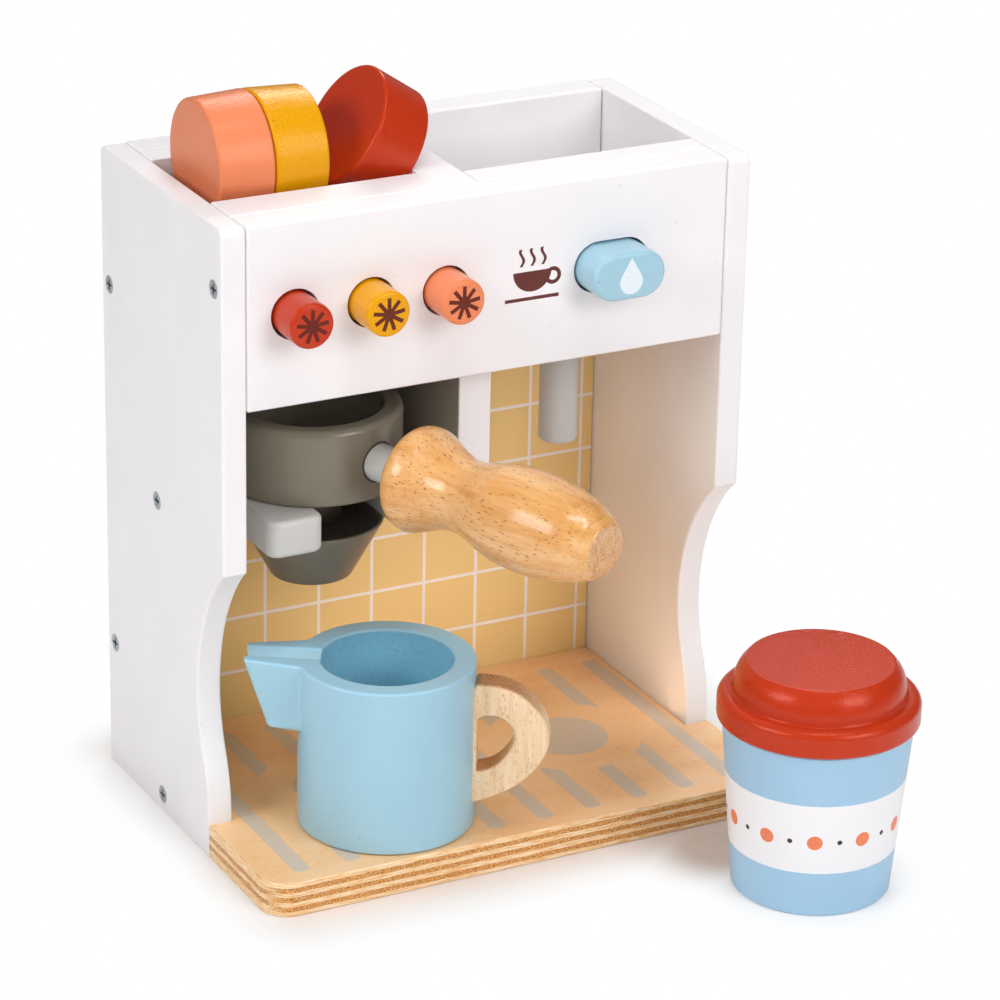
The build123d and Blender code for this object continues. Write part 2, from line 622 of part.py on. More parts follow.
def jug_spout():
    """Wedge-shaped spout glued to the side away from the handle."""
    tip = JUG_SPOUT_TIP_WIDTH / 2
    root = JUG_SPOUT_ROOT_WIDTH / 2
    plan = make_face(Polyline(
        (-JUG_SPOUT_REACH, -tip), (-JUG_SPOUT_REACH, tip),
        (-JUG_SPOUT_ROOT, root), (-JUG_SPOUT_ROOT, -root), close=True,
    ))
    wedge = extrude(Pos(0, 0, JUG_HEIGHT - JUG_SPOUT_HEIGHT) * plan, JUG_SPOUT_HEIGHT)
    foot_z = JUG_HEIGHT - JUG_SPOUT_HEIGHT
    side = make_face(Polyline(
        (-JUG_SPOUT_REACH, JUG_HEIGHT), (0, JUG_HEIGHT), (0, foot_z),
        (-JUG_SPOUT_FOOT_REACH, foot_z), close=True,
    ))
    slab = extrude(Plane.XZ * side, JUG_R, both=True)
    spout = wedge & slab
    barrel = drum(JUG_R + GLUE_FIT, 0, JUG_HEIGHT + CUT_MARGIN)
    return jug_place() * (spout - barrel - jug_groove())


def strip_and_bow(strip_x, foot_z, bow):
    """Face between an upright line at strip_x and a bow that runs from its top to its foot."""
    top, foot = (strip_x, bow[0][1]), (strip_x, foot_z)
    return make_face([Line(foot, top), Line(top, bow[0]), Spline(*bow, foot)])


def jug_handle():
    """Flat D-shaped ring, glued by its straight strip to the jug's seat."""
    seat_x = JUG_HANDLE_SEAT + GLUE_FIT
    outer = strip_and_bow(seat_x, JUG_HANDLE_FOOT_Z, JUG_HANDLE_OUTER)
    inner = strip_and_bow(seat_x + JUG_HANDLE_STRIP, JUG_HANDLE_HOLE_FOOT_Z, JUG_HANDLE_INNER)
    plate = extrude(Plane.XZ * (outer - inner), JUG_HANDLE_T / 2, both=True)
    plate = fillet(plate.faces().filter_by(Axis.Y).edges(), JUG_HANDLE_ROUND)
    return jug_place() * plate


def cup_body():
    """Tapered cup with a tapered hollow."""
    body = Pos(0, 0, CUP_HEIGHT / 2) * Cone(CUP_BOTTOM_R, CUP_TOP_R, CUP_HEIGHT)
    body = eased(body, CUP_ROUND, 0)
    hollow_height = CUP_HEIGHT - CUP_FLOOR
    hollow = Cone(CUP_BOTTOM_R - CUP_WALL, CUP_TOP_R - CUP_WALL, hollow_height)
    body = body - Pos(0, 0, CUP_FLOOR + hollow_height / 2) * hollow
    return Pos(CUP_X, CUP_Y, 0) * body


def cup_lid():
    """Turned lid: a rounded rim, a step in to the dome, a flat top, and a plug below."""
    rim = drum(LID_R, 0, LID_RIM_HEIGHT)
    rim = eased(eased(rim, LID_LOWER_ROUND, 0), LID_RIM_ROUND, -1)
    dome = eased(drum(LID_DOME_R, 0, LID_RIM_HEIGHT + LID_DOME_HEIGHT), LID_DOME_ROUND, -1)
    plug = eased(drum(LID_PLUG_R, -LID_PLUG_DEPTH, LID_RIM_HEIGHT), BOARD_ROUND, 0)
    lid = rim + dome + plug
    return Pos(CUP_X, CUP_Y, CUP_HEIGHT + RUNNING_GAP) * lid


def build_nodes():
    """Every node of the toy by name."""
    nodes = {
        "left_side_panel": side_panel(-1),
        "right_side_panel": side_panel(1),
        "back_panel": back_panel(),
        "base_board": base_board(),
        "front_fascia": front_fascia(),
        "left_inner_rail": left_inner_rail(),
        "right_inner_rail": right_inner_rail(),
        "pod_tray": pod_tray(),
        "divider": divider(),
        "storage_floor": storage_floor(),
        "water_spout": water_spout(),
        "portafilter_fork": portafilter_fork(),
        "left_panel_screws": screw_group(LEFT_SCREWS),
        "right_panel_screws": screw_group(RIGHT_SCREWS),
        "back_panel_screws": screw_group(BACK_SCREWS),
        "filter_cup": filter_cup(),
        "filter_neck": filter_neck(),
        "filter_cone": filter_cone(),
        "handle_stem": handle_stem(),
        "handle_grip": handle_grip(),
        "jug_body": jug_body(),
        "jug_spout": jug_spout(),
        "jug_handle": jug_handle(),
        "cup_body": cup_body(),
        "cup_lid": cup_lid(),
    }
    for name in BUTTONS:
        nodes[name + "_button"] = round_button(name)
        nodes[name + "_button_collar"] = button_collar(name)
        nodes[name + "_button_spring"] = button_spring(name)
    nodes.update(pods())
    return nodes


os.makedirs("parts", exist_ok=True)
for node_name, solid in build_nodes().items():
    export_step(solid, "parts/" + node_name + ".step")
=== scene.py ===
"""Dresses the toy coffee maker in smooth turned pieces and real finishes, and sets its stage."""
import math

import bmesh
import bpy
import numpy as np
from bpy.props import FloatProperty, FloatVectorProperty, PointerProperty
from mathutils import Matrix, Vector


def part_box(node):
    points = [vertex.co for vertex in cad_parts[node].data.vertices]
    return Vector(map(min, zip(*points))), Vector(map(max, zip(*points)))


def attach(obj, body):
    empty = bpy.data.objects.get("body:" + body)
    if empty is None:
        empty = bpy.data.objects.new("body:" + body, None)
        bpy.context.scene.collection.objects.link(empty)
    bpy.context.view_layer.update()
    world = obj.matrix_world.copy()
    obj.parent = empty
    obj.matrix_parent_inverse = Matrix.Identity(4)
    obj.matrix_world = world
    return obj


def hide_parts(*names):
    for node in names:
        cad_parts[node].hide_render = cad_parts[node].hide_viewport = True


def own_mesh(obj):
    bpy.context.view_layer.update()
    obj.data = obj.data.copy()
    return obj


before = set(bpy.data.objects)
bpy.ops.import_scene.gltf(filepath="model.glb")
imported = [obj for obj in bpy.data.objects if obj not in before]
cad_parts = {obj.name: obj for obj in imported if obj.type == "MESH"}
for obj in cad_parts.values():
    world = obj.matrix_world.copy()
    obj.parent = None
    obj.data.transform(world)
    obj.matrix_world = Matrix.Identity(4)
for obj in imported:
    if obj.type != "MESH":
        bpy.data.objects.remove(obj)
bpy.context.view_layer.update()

bl_info = {
    "name": "Toy Coffee Maker",
    "version": (1, 0, 0),
    "blender": (4, 5, 0),
    "location": "View3D > Sidebar > Toy Coffee Maker",
    "description": "Builds the looks of a wooden toy coffee maker around its frame",
    "category": "Object",
}

MM = 0.001
MATH = "Math"
NOISE = "TexNoise"

WHITE_BOARDS = ("left_side_panel", "right_side_panel", "left_inner_rail", "right_inner_rail",
                "pod_tray", "storage_floor")
SCREW_NODES = ("left_panel_screws", "right_panel_screws", "back_panel_screws")
BUTTONS = ("red", "yellow", "peach", "blue")

# Directions of the pieces that stand at an angle, in degrees
GRIP_ANGLE = 68.7
GRIP_DROOP = 1.7
RED_POD_TILT = 31.2
JUG_TURN = 31.0

# Sizes in millimetres that the box around a piece doesn't tell
STEM_RISE = 15.6               # of the stem's axis above the filter cup's underside
STEM_R = 7.4
GRIP_START = 51.5              # from the filter cup's axis
GRIP_LENGTH = 96.1
FILTER_INNER_R = 27.4
NECK_R = 12.0
NECK_PLAY = 0.6                # between the neck and the left arm
CONE_R = (16.0, 28.9)          # at its foot and its top
FORK_SLOT = 33.7
FORK_ARM_WIDTH = 22.9
FORK_ARM_LENGTH = 24.0
JUG_R = 34.3
BOWL_R = 25.7
JUG_HEIGHT = 67.6
JUG_FLOOR = 9.0
GROOVE = (5.0, 4.2)            # half width and depth
SPOUT_FOOT = 40.0
SPOUT_TIP = (54.6, 8.2)        # reach from the jug's axis and half width, at the rim
SPOUT_ROOT = (30.0, 13.4)
HANDLE_HALF_T = 5.75
SPRING_WIRE_R = 0.4
SPRING_TURNS = 4
HOLE_R = (7.35, 7.35, 8.2, 8.3)          # of the dark ring painted as shade in the gap around the stem, and its height there
HOLE_LIFT = (-0.6, 0.08, 0.08, -0.6)
POD_R = (24.8, 23.8)           # at its wide and its narrow end
POD_LENGTH = 22.3
LID_PLUG = 6.0

PLIES = 7

# Prints, in millimetres
PRINT_SKIN = 0.3               # distance from its face within which a print shows
BOARD_SKIN = (-0.4, 0.25)      # the same for a whole board's face, outwards and inwards
TILE_PITCH = (23.9, 23.7)
TILE_FIRST = (-0.6, 34.0)
TILE_LINE = 0.68               # half width of the lines between tiles
GRATE_PITCH = 20.9
GRATE_MIDDLE_Y = -31.05
GRATE_CORE = (1.0, 58.25)      # half width and half length of a slot without its rounding
GRATE_ROUND = 2.5
GRATE_HALF_WIDTH = 100.0
DISC_CENTRE = (51.0, -30.6)
DISC_R = (17.5, 31.0)          # of the disc and of the free ring around it
SPOKES = 9
SPOKE_SIZE = (0.8, 6.5)        # half width and reach
DROP_R, DROP_TIP = 4.9, 9.6
DROP_SHIFT = (0.4, -2.1)       # of the drop's round part from the middle of the button
BAND_Z = (19.2, 48.6)
BAND_R = 33.6
BAND_INNER_R = 29.5
DOTS_Z = 32.5
DOTS_AROUND = 11
FIRST_DOT = -137               # degrees around the cup
DOT_R = (3.0, 1.0)

# Soft boxes: direction from the toy, width and height in metres, power, and whether they show
# in gloss
LAMPS = {
    "right_softbox": ((0.31, -0.83, 0.46), (0.75, 0.75), 10.0, True),
    "left_softbox": ((-0.86, -0.12, 0.49), (0.75, 0.6), 9.4, True),
    "front_softbox": ((-0.5, -0.75, 0.45), (0.75, 0.75), 4.3, False),
    "top_strip": ((0.0, -0.28, 0.96), (0.8, 0.2), 5.0, True),
    "back_softbox": ((0.40, 0.62, 0.68), (0.55, 0.26), 5.0, True),
    "overhead_panel": ((0.15, 0.25, 0.95), (1.2, 1.2), 7.4, False),
}
LAMP_DISTANCE = 1.5
TOY_MIDDLE = (0, -0.04, 0.13)
BOUNCE = ((0.035, -0.015, 0.0155), (0.05, 0.12, 1), (0.13, 0.10), 0.065)   # place, aim, size, power
FILL = 0.03

# Where the floor keeps its rendered shadow, in millimetres: a rectangle and two round patches. Next to
# the rectangle and around the second patch, shadow is also painted on the floor.
SHADE_MIDDLE, SHADE_HALF = (11.0, -21.5), (109.0, 78.5)
CUP_PATCH = ((90.3, -157.2), 16.0)
PAINTED_GAP_SHADOW_PATCH = ((72.0, -118.0), 10.0)

CAMERA_PLACE = (-0.6963, -1.3799, 0.7558)
CAMERA_ANGLES = (27.93, 22.51, 1.193)    # yaw, pitch and roll in degrees
CAMERA_LENS = 152.1
UP = np.array((0, 0, 1.0))


# Colours

def linear(hex_colour):
    """Linear RGBA of an sRGB hex colour."""
    parts = np.array([int(hex_colour[i:i + 2], 16) for i in (1, 3, 5)]) / 255
    parts = np.where(parts <= 0.04045, parts / 12.92, ((parts + 0.055) / 1.055) ** 2.4)
    return (*parts.tolist(), 1.0)


def shade(colour, factor):
    """The same colour made lighter or darker."""
    return (*[min(1.0, part * factor) for part in colour[:3]], 1.0)


def sheen_tint(colour):
    """Tint of a pigmented film's sheen: part way from white to the colour at full brightness."""
    peak = max(colour[:3])
    return (*[0.35 + 0.65 * part / peak for part in colour[:3]], 1.0)


# Materials

def add(tree, kind, inputs=(), out=0, stops=None, **settings):
    """Adds a node with its settings and links, and returns one of its outputs.

    Inputs are a row from the first socket on, or values by socket name or number. The stops
    of a ramp are (place, linear RGBA or sRGB hex).
    """
    node = tree.nodes.new("ShaderNode" + kind)
    for name, value in settings.items():
        setattr(node, name, value)
    for key, value in inputs.items() if isinstance(inputs, dict) else enumerate(inputs):
        if isinstance(value, bpy.types.NodeSocket):
            tree.links.new(value, node.inputs[key])
        else:
            node.inputs[key].default_value = value
    if stops:
        stops = [(place, linear(colour) if isinstance(colour, str) else colour)
                 for place, colour in stops]
        ramp = node.color_ramp.elements
        ramp[0].position, ramp[0].color = stops[0]
        ramp[1].position, ramp[1].color = stops[-1]
        for place, colour in stops[1:-1]:
            ramp.new(place).color = colour
    return node.outputs[out]


def start(name, **constants):
    """New material, its tree and its Principled shader with the constant sockets set."""
    material = bpy.data.materials.new(name)
    material.use_nodes = True
    tree = material.node_tree
    shader = tree.nodes["Principled BSDF"]
    for socket, value in constants.items():
        shader.inputs[socket.replace("_", " ")].default_value = value
    return material, tree, shader


def blend_colour(tree, factor, low, high):
    """Colour between low and high by a factor from 0 to 1."""
    return add(tree, "Mix", {0: factor, 6: low, 7: high}, out=2, data_type="RGBA")


def overprint(tree, shader, mask, colour):
    """Lays a printed or second colour over what the shader shows so far."""
    below = shader.inputs["Base Color"].links[0].from_socket
    tree.links.new(blend_colour(tree, mask, below, colour), shader.inputs["Base Color"])


def millimetres(tree):
    """Object coordinates in millimetres, as a vector and its three parts."""
    place = add(tree, "TexCoord", out="Object")
    vector = add(tree, "VectorMath", {0: place, "Scale": 1000.0}, operation="SCALE")
    parts = [add(tree, "SeparateXYZ", (vector,), out=axis) for axis in "XYZ"]
    return vector, parts


def stretched_noise(tree, vector, spacing, detail=2.0, rough=0.5):
    """Noise whose features are spacing = (x, y, z) millimetres long."""
    scaled = add(tree, "Mapping", {"Vector": vector, "Scale": [1 / s for s in spacing]})
    return add(tree, NOISE, {"Vector": scaled, "Scale": 1.0, "Detail": detail, "Roughness": rough})


def bumped(tree, shader, height, depth):
    """Gives the shader a relief of a depth in metres from a height between 0 and 1."""
    bump = add(tree, "Bump", {"Height": height, "Distance": depth, "Strength": 1.0})
    tree.links.new(bump, shader.inputs["Normal"])


def sprayed_lacquer(name, colour, roughness=0.42, grain=(1.2, 1.2, 22.0), relief=0.00005, dents=0.5,
                    peel=0.8):
    """Satin lacquer sprayed over sanded wood.

    The eye gets an even colour with a soft sheen that takes on some of the pigment, a trace of
    the grain under the paint, fine orange peel of about 0.8 mm, and here and there a short
    closed dent along the grain.
    """
    material, tree, shader = start(name, Roughness=roughness, IOR=1.48, Coat_Weight=0.08,
                                   Coat_Roughness=0.2, Specular_Tint=sheen_tint(colour))
    vector, _ = millimetres(tree)
    cloud = stretched_noise(tree, vector, (26, 26, 26))
    tone = blend_colour(tree, cloud, shade(colour, 0.965), shade(colour, 1.03))
    stretch = [0.05 if size > 5 else 0.17 for size in grain]
    squeezed = add(tree, "Mapping", {"Vector": vector, "Scale": stretch})
    cells = add(tree, "TexVoronoi", {"Vector": squeezed, "Scale": 1.0}, feature="F1")
    dent = add(tree, MATH, (cells, 0.05 * dents), operation="LESS_THAN")
    tone = blend_colour(tree, dent, tone, shade(colour, 0.66))
    tree.links.new(tone, shader.inputs["Base Color"])
    lines = stretched_noise(tree, vector, grain, detail=4.0, rough=0.65)
    skin = stretched_noise(tree, vector, (peel, peel, peel), detail=1.5)
    height = add(tree, MATH, (lines, 0.8, skin), operation="MULTIPLY_ADD")
    height = add(tree, MATH, (height, dent), operation="SUBTRACT")
    bumped(tree, shader, height, relief)
    return material, tree, shader


def within(tree, value, low, high):
    """1 where low < value < high, else 0."""
    middle, half = (low + high) / 2, (high - low) / 2
    return add(tree, MATH, (value, middle, half), operation="COMPARE")


def both(tree, first, second):
    """1 where both masks are 1."""
    return add(tree, MATH, (first, second), operation="MULTIPLY")


def either(tree, first, second):
    """1 where at least one mask is 1."""
    return add(tree, MATH, (first, second), operation="MAXIMUM")


def on_face(tree, value, face):
    """1 close enough to a face for its print to show."""
    return within(tree, value, face - PRINT_SKIN, face + PRINT_SKIN)


def from_centre(tree, across, up, centre):
    """Both coordinates of a flat print, from a centre point."""
    return [add(tree, MATH, (part, middle), operation="SUBTRACT")
            for part, middle in zip((across, up), centre)]


def flat_length(tree, across, up):
    """Length of a vector in a flat print."""
    flat = add(tree, "CombineXYZ", (across, up))
    return add(tree, "VectorMath", (flat,), out="Value", operation="LENGTH")


def distance(tree, across, up, centre):
    """Distance in a flat print from a centre point."""
    return flat_length(tree, *from_centre(tree, across, up, centre))


def bearing(tree, across, up, centre):
    """Angle in a flat print about a centre point."""
    dx, dy = from_centre(tree, across, up, centre)
    return add(tree, MATH, (dy, dx), operation="ARCTAN2")


def box_distance(tree, offsets, halves):
    """Distance from a rectangle, by the unsigned offsets from its middle and its half sizes."""
    sides = []
    for offset, half in zip(offsets, halves):
        past = add(tree, MATH, (offset, half), operation="SUBTRACT")
        sides.append(add(tree, MATH, (past, 0.0), operation="MAXIMUM"))
    return flat_length(tree, *sides)


def disc(tree, across, up, centre, radius):
    """Mask of a round dot in a flat print."""
    far = distance(tree, across, up, centre)
    return add(tree, MATH, (far, radius), operation="LESS_THAN")


def repeat_offset(tree, value, first, pitch):
    """Distance from the nearest of a row of lines at first + k * pitch."""
    shifted = add(tree, MATH, (value, pitch / 2 - first), operation="ADD")
    cell = add(tree, MATH, (shifted, pitch), operation="FLOORED_MODULO")
    middle = add(tree, MATH, (cell, pitch / 2), operation="SUBTRACT")
    return add(tree, MATH, (middle,), operation="ABSOLUTE")


def tile_printed_board(paints):
    """White lacquered board with plain square tiles printed on its inner face in flat yellow ink."""
    material, tree, shader = sprayed_lacquer("tile_printed_board", paints.white, grain=(22, 1.2, 1.2))
    vector, (x, y, z) = millimetres(tree)
    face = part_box("back_panel")[0].y / MM
    inner_face = within(tree, y, face + BOARD_SKIN[0], face + BOARD_SKIN[1])
    printed = both(tree, inner_face, within(tree, z, -1.0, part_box("storage_floor")[0].z / MM + 4))
    upright, level = [repeat_offset(tree, *row) for row in zip((x, z), TILE_FIRST, TILE_PITCH)]
    nearest = add(tree, MATH, (upright, level), operation="MINIMUM")
    tile = add(tree, MATH, (nearest, TILE_LINE), operation="GREATER_THAN")
    uneven = stretched_noise(tree, vector, (40, 40, 40))
    ink = blend_colour(tree, uneven, shade(paints.tile, 0.97), shade(paints.tile, 1.03))
    overprint(tree, shader, both(tree, printed, tile), ink)
    return material


def two_sided_divider(paints):
    """White lacquered board whose face towards the filter holder is grey."""
    material, tree, shader = sprayed_lacquer("two_tone_lacquer", paints.white)
    _, (x, _, _) = millimetres(tree)
    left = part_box("divider")[0].x / MM
    face = within(tree, x, left + BOARD_SKIN[0], left + BOARD_SKIN[1])
    # The face towards the filter holder is drawn grey
    overprint(tree, shader, face, paints.divider_side_grey)
    return material


def drip_tray_print(tree, parts):
    """Mask of the printed drip grate: rows of slots that leave a ring free around two discs."""
    x, y, z = parts
    across = repeat_offset(tree, x, GRATE_PITCH / 2, GRATE_PITCH)
    along = add(tree, MATH, (y, GRATE_MIDDLE_Y), operation="SUBTRACT")
    along = add(tree, MATH, (along,), operation="ABSOLUTE")
    reach = box_distance(tree, (across, along), GRATE_CORE)
    slots = add(tree, MATH, (reach, GRATE_ROUND), operation="LESS_THAN")
    slots = both(tree, slots, within(tree, x, -GRATE_HALF_WIDTH, GRATE_HALF_WIDTH))
    mirrored = add(tree, MATH, (x,), operation="ABSOLUTE")
    centre = distance(tree, mirrored, y, DISC_CENTRE)
    outside = add(tree, MATH, (centre, DISC_R[1]), operation="GREATER_THAN")
    middle = add(tree, MATH, (centre, DISC_R[0]), operation="LESS_THAN")
    print_mask = either(tree, both(tree, slots, outside), middle)
    return both(tree, print_mask, on_face(tree, z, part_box("base_board")[1].z / MM))


def birch_plywood(paints):
    """Seven-ply birch board, sanded and clear varnished, with a grey print on its face.

    The face veneer is pale with fine streaks along its length. On each edge, long-grain plies
    are pale and streaky, and the crossed ones show brown, porous end grain.
    """
    material, tree, shader = start("birch_plywood", Roughness=0.4, IOR=1.5, Coat_Weight=0.25,
                                   Coat_Roughness=0.18)
    vector, (x, y, z) = millimetres(tree)
    fleck = stretched_noise(tree, vector, (4.0, 0.5, 2.0), detail=3.0, rough=0.7)
    cloud = stretched_noise(tree, vector, (42, 17, 20))
    fleck = add(tree, MATH, (fleck, 0.6), operation="MULTIPLY")
    veneer = add(tree, MATH, (cloud, 0.4, fleck), operation="MULTIPLY_ADD")
    face = add(tree, "ValToRGB", (veneer,), stops=(
        (0.34, "#EBB277"), (0.5, paints.plywood), (0.66, "#FCD7AB")))
    ply = add(tree, MATH, (z, PLIES / (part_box("base_board")[1].z / MM)), operation="MULTIPLY")
    wobble = stretched_noise(tree, vector, (9, 9, 2), detail=1.0)
    wobble = add(tree, MATH, (wobble, 0.5), operation="SUBTRACT")
    ply = add(tree, MATH, (wobble, 0.3, ply), operation="MULTIPLY_ADD")
    ply = add(tree, MATH, (ply,), operation="FLOOR")
    odd = add(tree, MATH, (ply, 2.0), operation="FLOORED_MODULO")
    inner_even = both(tree, add(tree, MATH, (1.0, odd), operation="SUBTRACT"),
                      within(tree, ply, 0.5, PLIES - 1.5))
    normal = add(tree, "NewGeometry", out="Normal")
    facing = [add(tree, "SeparateXYZ", (normal,), out=axis) for axis in "XYZ"]
    facing = [add(tree, MATH, (part,), operation="ABSOLUTE") for part in facing]
    torn = stretched_noise(tree, vector, (1.6, 1.6, 0.8), detail=2.0)
    front = add(tree, MATH, (torn, 0.5, facing[1]), operation="MULTIPLY_ADD")
    front = add(tree, "MapRange", (front, 0.65, 1.1))
    crossed = add(tree, "Mix", {0: front, 2: inner_even, 3: odd}, data_type="FLOAT")

    streak = stretched_noise(tree, vector, (7, 7, 0.4), detail=3.0, rough=0.65)
    long_grain = add(tree, "ValToRGB", (streak,), stops=(
        (0.32, "#DE9A4E"), (0.45, "#F5C686"), (0.62, "#FFE8C8")))
    open_pores = stretched_noise(tree, vector, (0.8, 0.8, 0.55), detail=3.0, rough=0.75)
    end_grain = add(tree, "ValToRGB", (open_pores,), stops=(
        (0.36, "#784412"), (0.43, "#C07A30"), (0.52, "#DE9A4A"),
        (0.64, "#F3C284")))
    edge = blend_colour(tree, crossed, long_grain, end_grain)
    flat = add(tree, MATH, (facing[2], 0.8), operation="GREATER_THAN")
    tree.links.new(blend_colour(tree, flat, edge, face), shader.inputs["Base Color"])
    grate = drip_tray_print(tree, (x, y, z))
    thin_ink = add(tree, MATH, (grate, 0.82), operation="MULTIPLY")
    overprint(tree, shader, thin_ink, paints.print_grey)
    rough_edge = both(tree, crossed, add(tree, MATH, (1.0, flat), operation="SUBTRACT"))
    height = add(tree, MATH, (both(tree, rough_edge, open_pores), 3.0, veneer),
                 operation="MULTIPLY_ADD")
    bumped(tree, shader, height, 0.00006)
    return material


def grip_space(tree, vector):
    """Coordinates in millimetres about the grip's axis, with Z along it."""
    origin, axes = grip_axes()
    moved = add(tree, "VectorMath", (vector, tuple(origin)), operation="SUBTRACT")
    turn = Matrix(axes.tolist()).to_euler()
    return add(tree, "Mapping", {"Vector": moved, "Rotation": turn})


def short_pores(tree, vector, cell, reach):
    """Mask of scattered dashes, where the stretched distance to a cell's point is under a reach."""
    squeezed = add(tree, "Mapping", {"Vector": vector, "Scale": [1 / size for size in cell]})
    cells = add(tree, "TexVoronoi", {"Vector": squeezed, "Scale": 1.0}, feature="F1")
    crowd = stretched_noise(tree, vector, [5 * size for size in cell], detail=1.0)
    limit = add(tree, MATH, (crowd, 2 * reach), operation="MULTIPLY")
    return add(tree, MATH, (cells, limit), operation="LESS_THAN")


def varnished_hardwood(paints):
    """Turned rubberwood under clear gloss varnish.

    Honey colour in slow bands along the axis, short dark pores a few millimetres long, and at
    the flat end a fine chequer of end grain, which takes the varnish duller.
    """
    material, tree, shader = start("varnished_hardwood", Roughness=0.45, IOR=1.5, Coat_Weight=0.9,
                                   Coat_Roughness=0.16)
    vector, _ = millimetres(tree)
    along = grip_space(tree, vector)
    band = stretched_noise(tree, along, (6, 9, 60), detail=3.0, rough=0.55)
    tone = add(tree, "ValToRGB", (band,), stops=(
        (0.3, "#D4924A"), (0.45, paints.hardwood), (0.6, "#EBB676"),
        (0.75, "#EFC086")))
    figure = stretched_noise(tree, along, (0.9, 0.9, 16), detail=2.0)
    figure = add(tree, "MapRange", (figure, 0.5, 0.75, 0.0, 0.35))
    tone = blend_colour(tree, figure, tone, linear("#C07230"))
    pores = either(tree, short_pores(tree, along, (1.15, 1.15, 5.5), 0.17),
                   short_pores(tree, along, (1.7, 1.7, 8.0), 0.13))
    tone = blend_colour(tree, add(tree, MATH, (pores, 0.7), operation="MULTIPLY"), tone,
                        linear("#93501C"))
    reach = add(tree, "SeparateXYZ", (along,), out="Z")
    end = add(tree, MATH, (reach, GRIP_LENGTH - 0.35), operation="GREATER_THAN")
    rays = stretched_noise(tree, along, (0.45, 4.0, 4.0), detail=1.0)
    rings = stretched_noise(tree, along, (4.0, 0.7, 4.0), detail=1.0)
    hatch = add(tree, MATH, (rays, rings), operation="ADD")
    hatch = add(tree, MATH, (hatch, 0.5), operation="MULTIPLY")
    cut_end = add(tree, "ValToRGB", (hatch,), stops=(
        (0.38, "#BE8850"), (0.5, "#D7A26A"), (0.62, "#E4B685")))
    tree.links.new(blend_colour(tree, end, tone, cut_end), shader.inputs["Base Color"])
    height = add(tree, MATH, (hatch, end), operation="MULTIPLY")
    height = add(tree, MATH, (height, pores), operation="SUBTRACT")
    uneven = stretched_noise(tree, along, (2.0, 2.0, 4.0), detail=2.0)
    height = add(tree, MATH, (uneven, 2.0, height), operation="MULTIPLY_ADD")
    bumped(tree, shader, height, 0.00006)
    return material


def sanded_beech(paints):
    """Bare sanded beech, matt, with upright grain.

    Faces along the grain are pale with short brown flecks of the rays; where the cut crosses the
    grain, on top and on the floor of the hole, it is brown and porous.
    """
    material, tree, shader = start("sanded_beech", Roughness=0.6, IOR=1.5)
    vector, _ = millimetres(tree)
    turned_vector = add(tree, "Mapping",
                        {"Vector": vector, "Rotation": (0, 0, math.radians(JUG_TURN))})
    band = stretched_noise(tree, turned_vector, (2.2, 4.0, 26), detail=4.0, rough=0.6)
    tone = add(tree, "ValToRGB", (band,), stops=(
        (0.3, "#E8C092"), (0.5, paints.beech), (0.7, "#F8DEBC")))
    flecks = short_pores(tree, turned_vector, (0.9, 0.9, 3.2), 0.22)
    tone = blend_colour(tree, add(tree, MATH, (flecks, 0.5), operation="MULTIPLY"), tone,
                        linear("#BF8450"))
    pores = stretched_noise(tree, turned_vector, (0.5, 1.2, 0.5), detail=2.0, rough=0.7)
    crossed = add(tree, "ValToRGB", (pores,), stops=(
        (0.35, "#A06C3C"), (0.5, "#BE8858"), (0.66, "#D0A070")))
    normal = add(tree, "NewGeometry", out="Normal")
    steep = add(tree, "SeparateXYZ", (normal,), out="Z")
    steep = add(tree, MATH, (steep,), operation="ABSOLUTE")
    end = add(tree, "MapRange", (steep, 0.35, 0.9))
    tree.links.new(blend_colour(tree, end, tone, crossed), shader.inputs["Base Color"])
    fibres = stretched_noise(tree, turned_vector, (0.4, 0.4, 7.0), detail=2.0)
    bumped(tree, shader, fibres, 0.00006)
    return material


def zinc_plate():
    """Pressed steel screws with bright zinc plate: grey metal with a faint blue cast and scuffs."""
    material, tree, shader = start("zinc_plate", Metallic=1.0, Roughness=0.36)
    vector, _ = millimetres(tree)
    scuff = stretched_noise(tree, vector, (0.6, 0.6, 0.6), detail=3.0)
    tone = blend_colour(tree, scuff, linear("#8F969C"), linear("#C9CED2"))
    tree.links.new(tone, shader.inputs["Base Color"])
    bumped(tree, shader, scuff, 0.00003)
    return material


def drawn_wire():
    """Drawn spring wire: smooth dark metal with lines along the wire."""
    material, tree, shader = start("drawn_wire", Metallic=1.0, Roughness=0.3)
    vector, _ = millimetres(tree)
    lines = stretched_noise(tree, vector, (0.15, 3.0, 3.0))
    tone = blend_colour(tree, lines, linear("#6E7073"), linear("#9A9C9F"))
    tree.links.new(tone, shader.inputs["Base Color"])
    return material


def asterisk_mask(tree, parts, centre, front):
    """Mask of straight spokes from a centre on a button's face.

    A spoke is where distance * |sin(angle to the nearest spoke)| is under its half width.
    """
    x, y, z = parts
    angle = bearing(tree, x, z, centre)
    off = repeat_offset(tree, angle, math.pi / 2, 2 * math.pi / SPOKES)
    off = add(tree, MATH, (off,), operation="SINE")
    far = distance(tree, x, z, centre)
    side = add(tree, MATH, (far, off), operation="MULTIPLY")
    spokes = add(tree, MATH, (side, SPOKE_SIZE[0]), operation="LESS_THAN")
    inside = add(tree, MATH, (far, SPOKE_SIZE[1]), operation="LESS_THAN")
    return both(tree, both(tree, spokes, inside), on_face(tree, y, front))


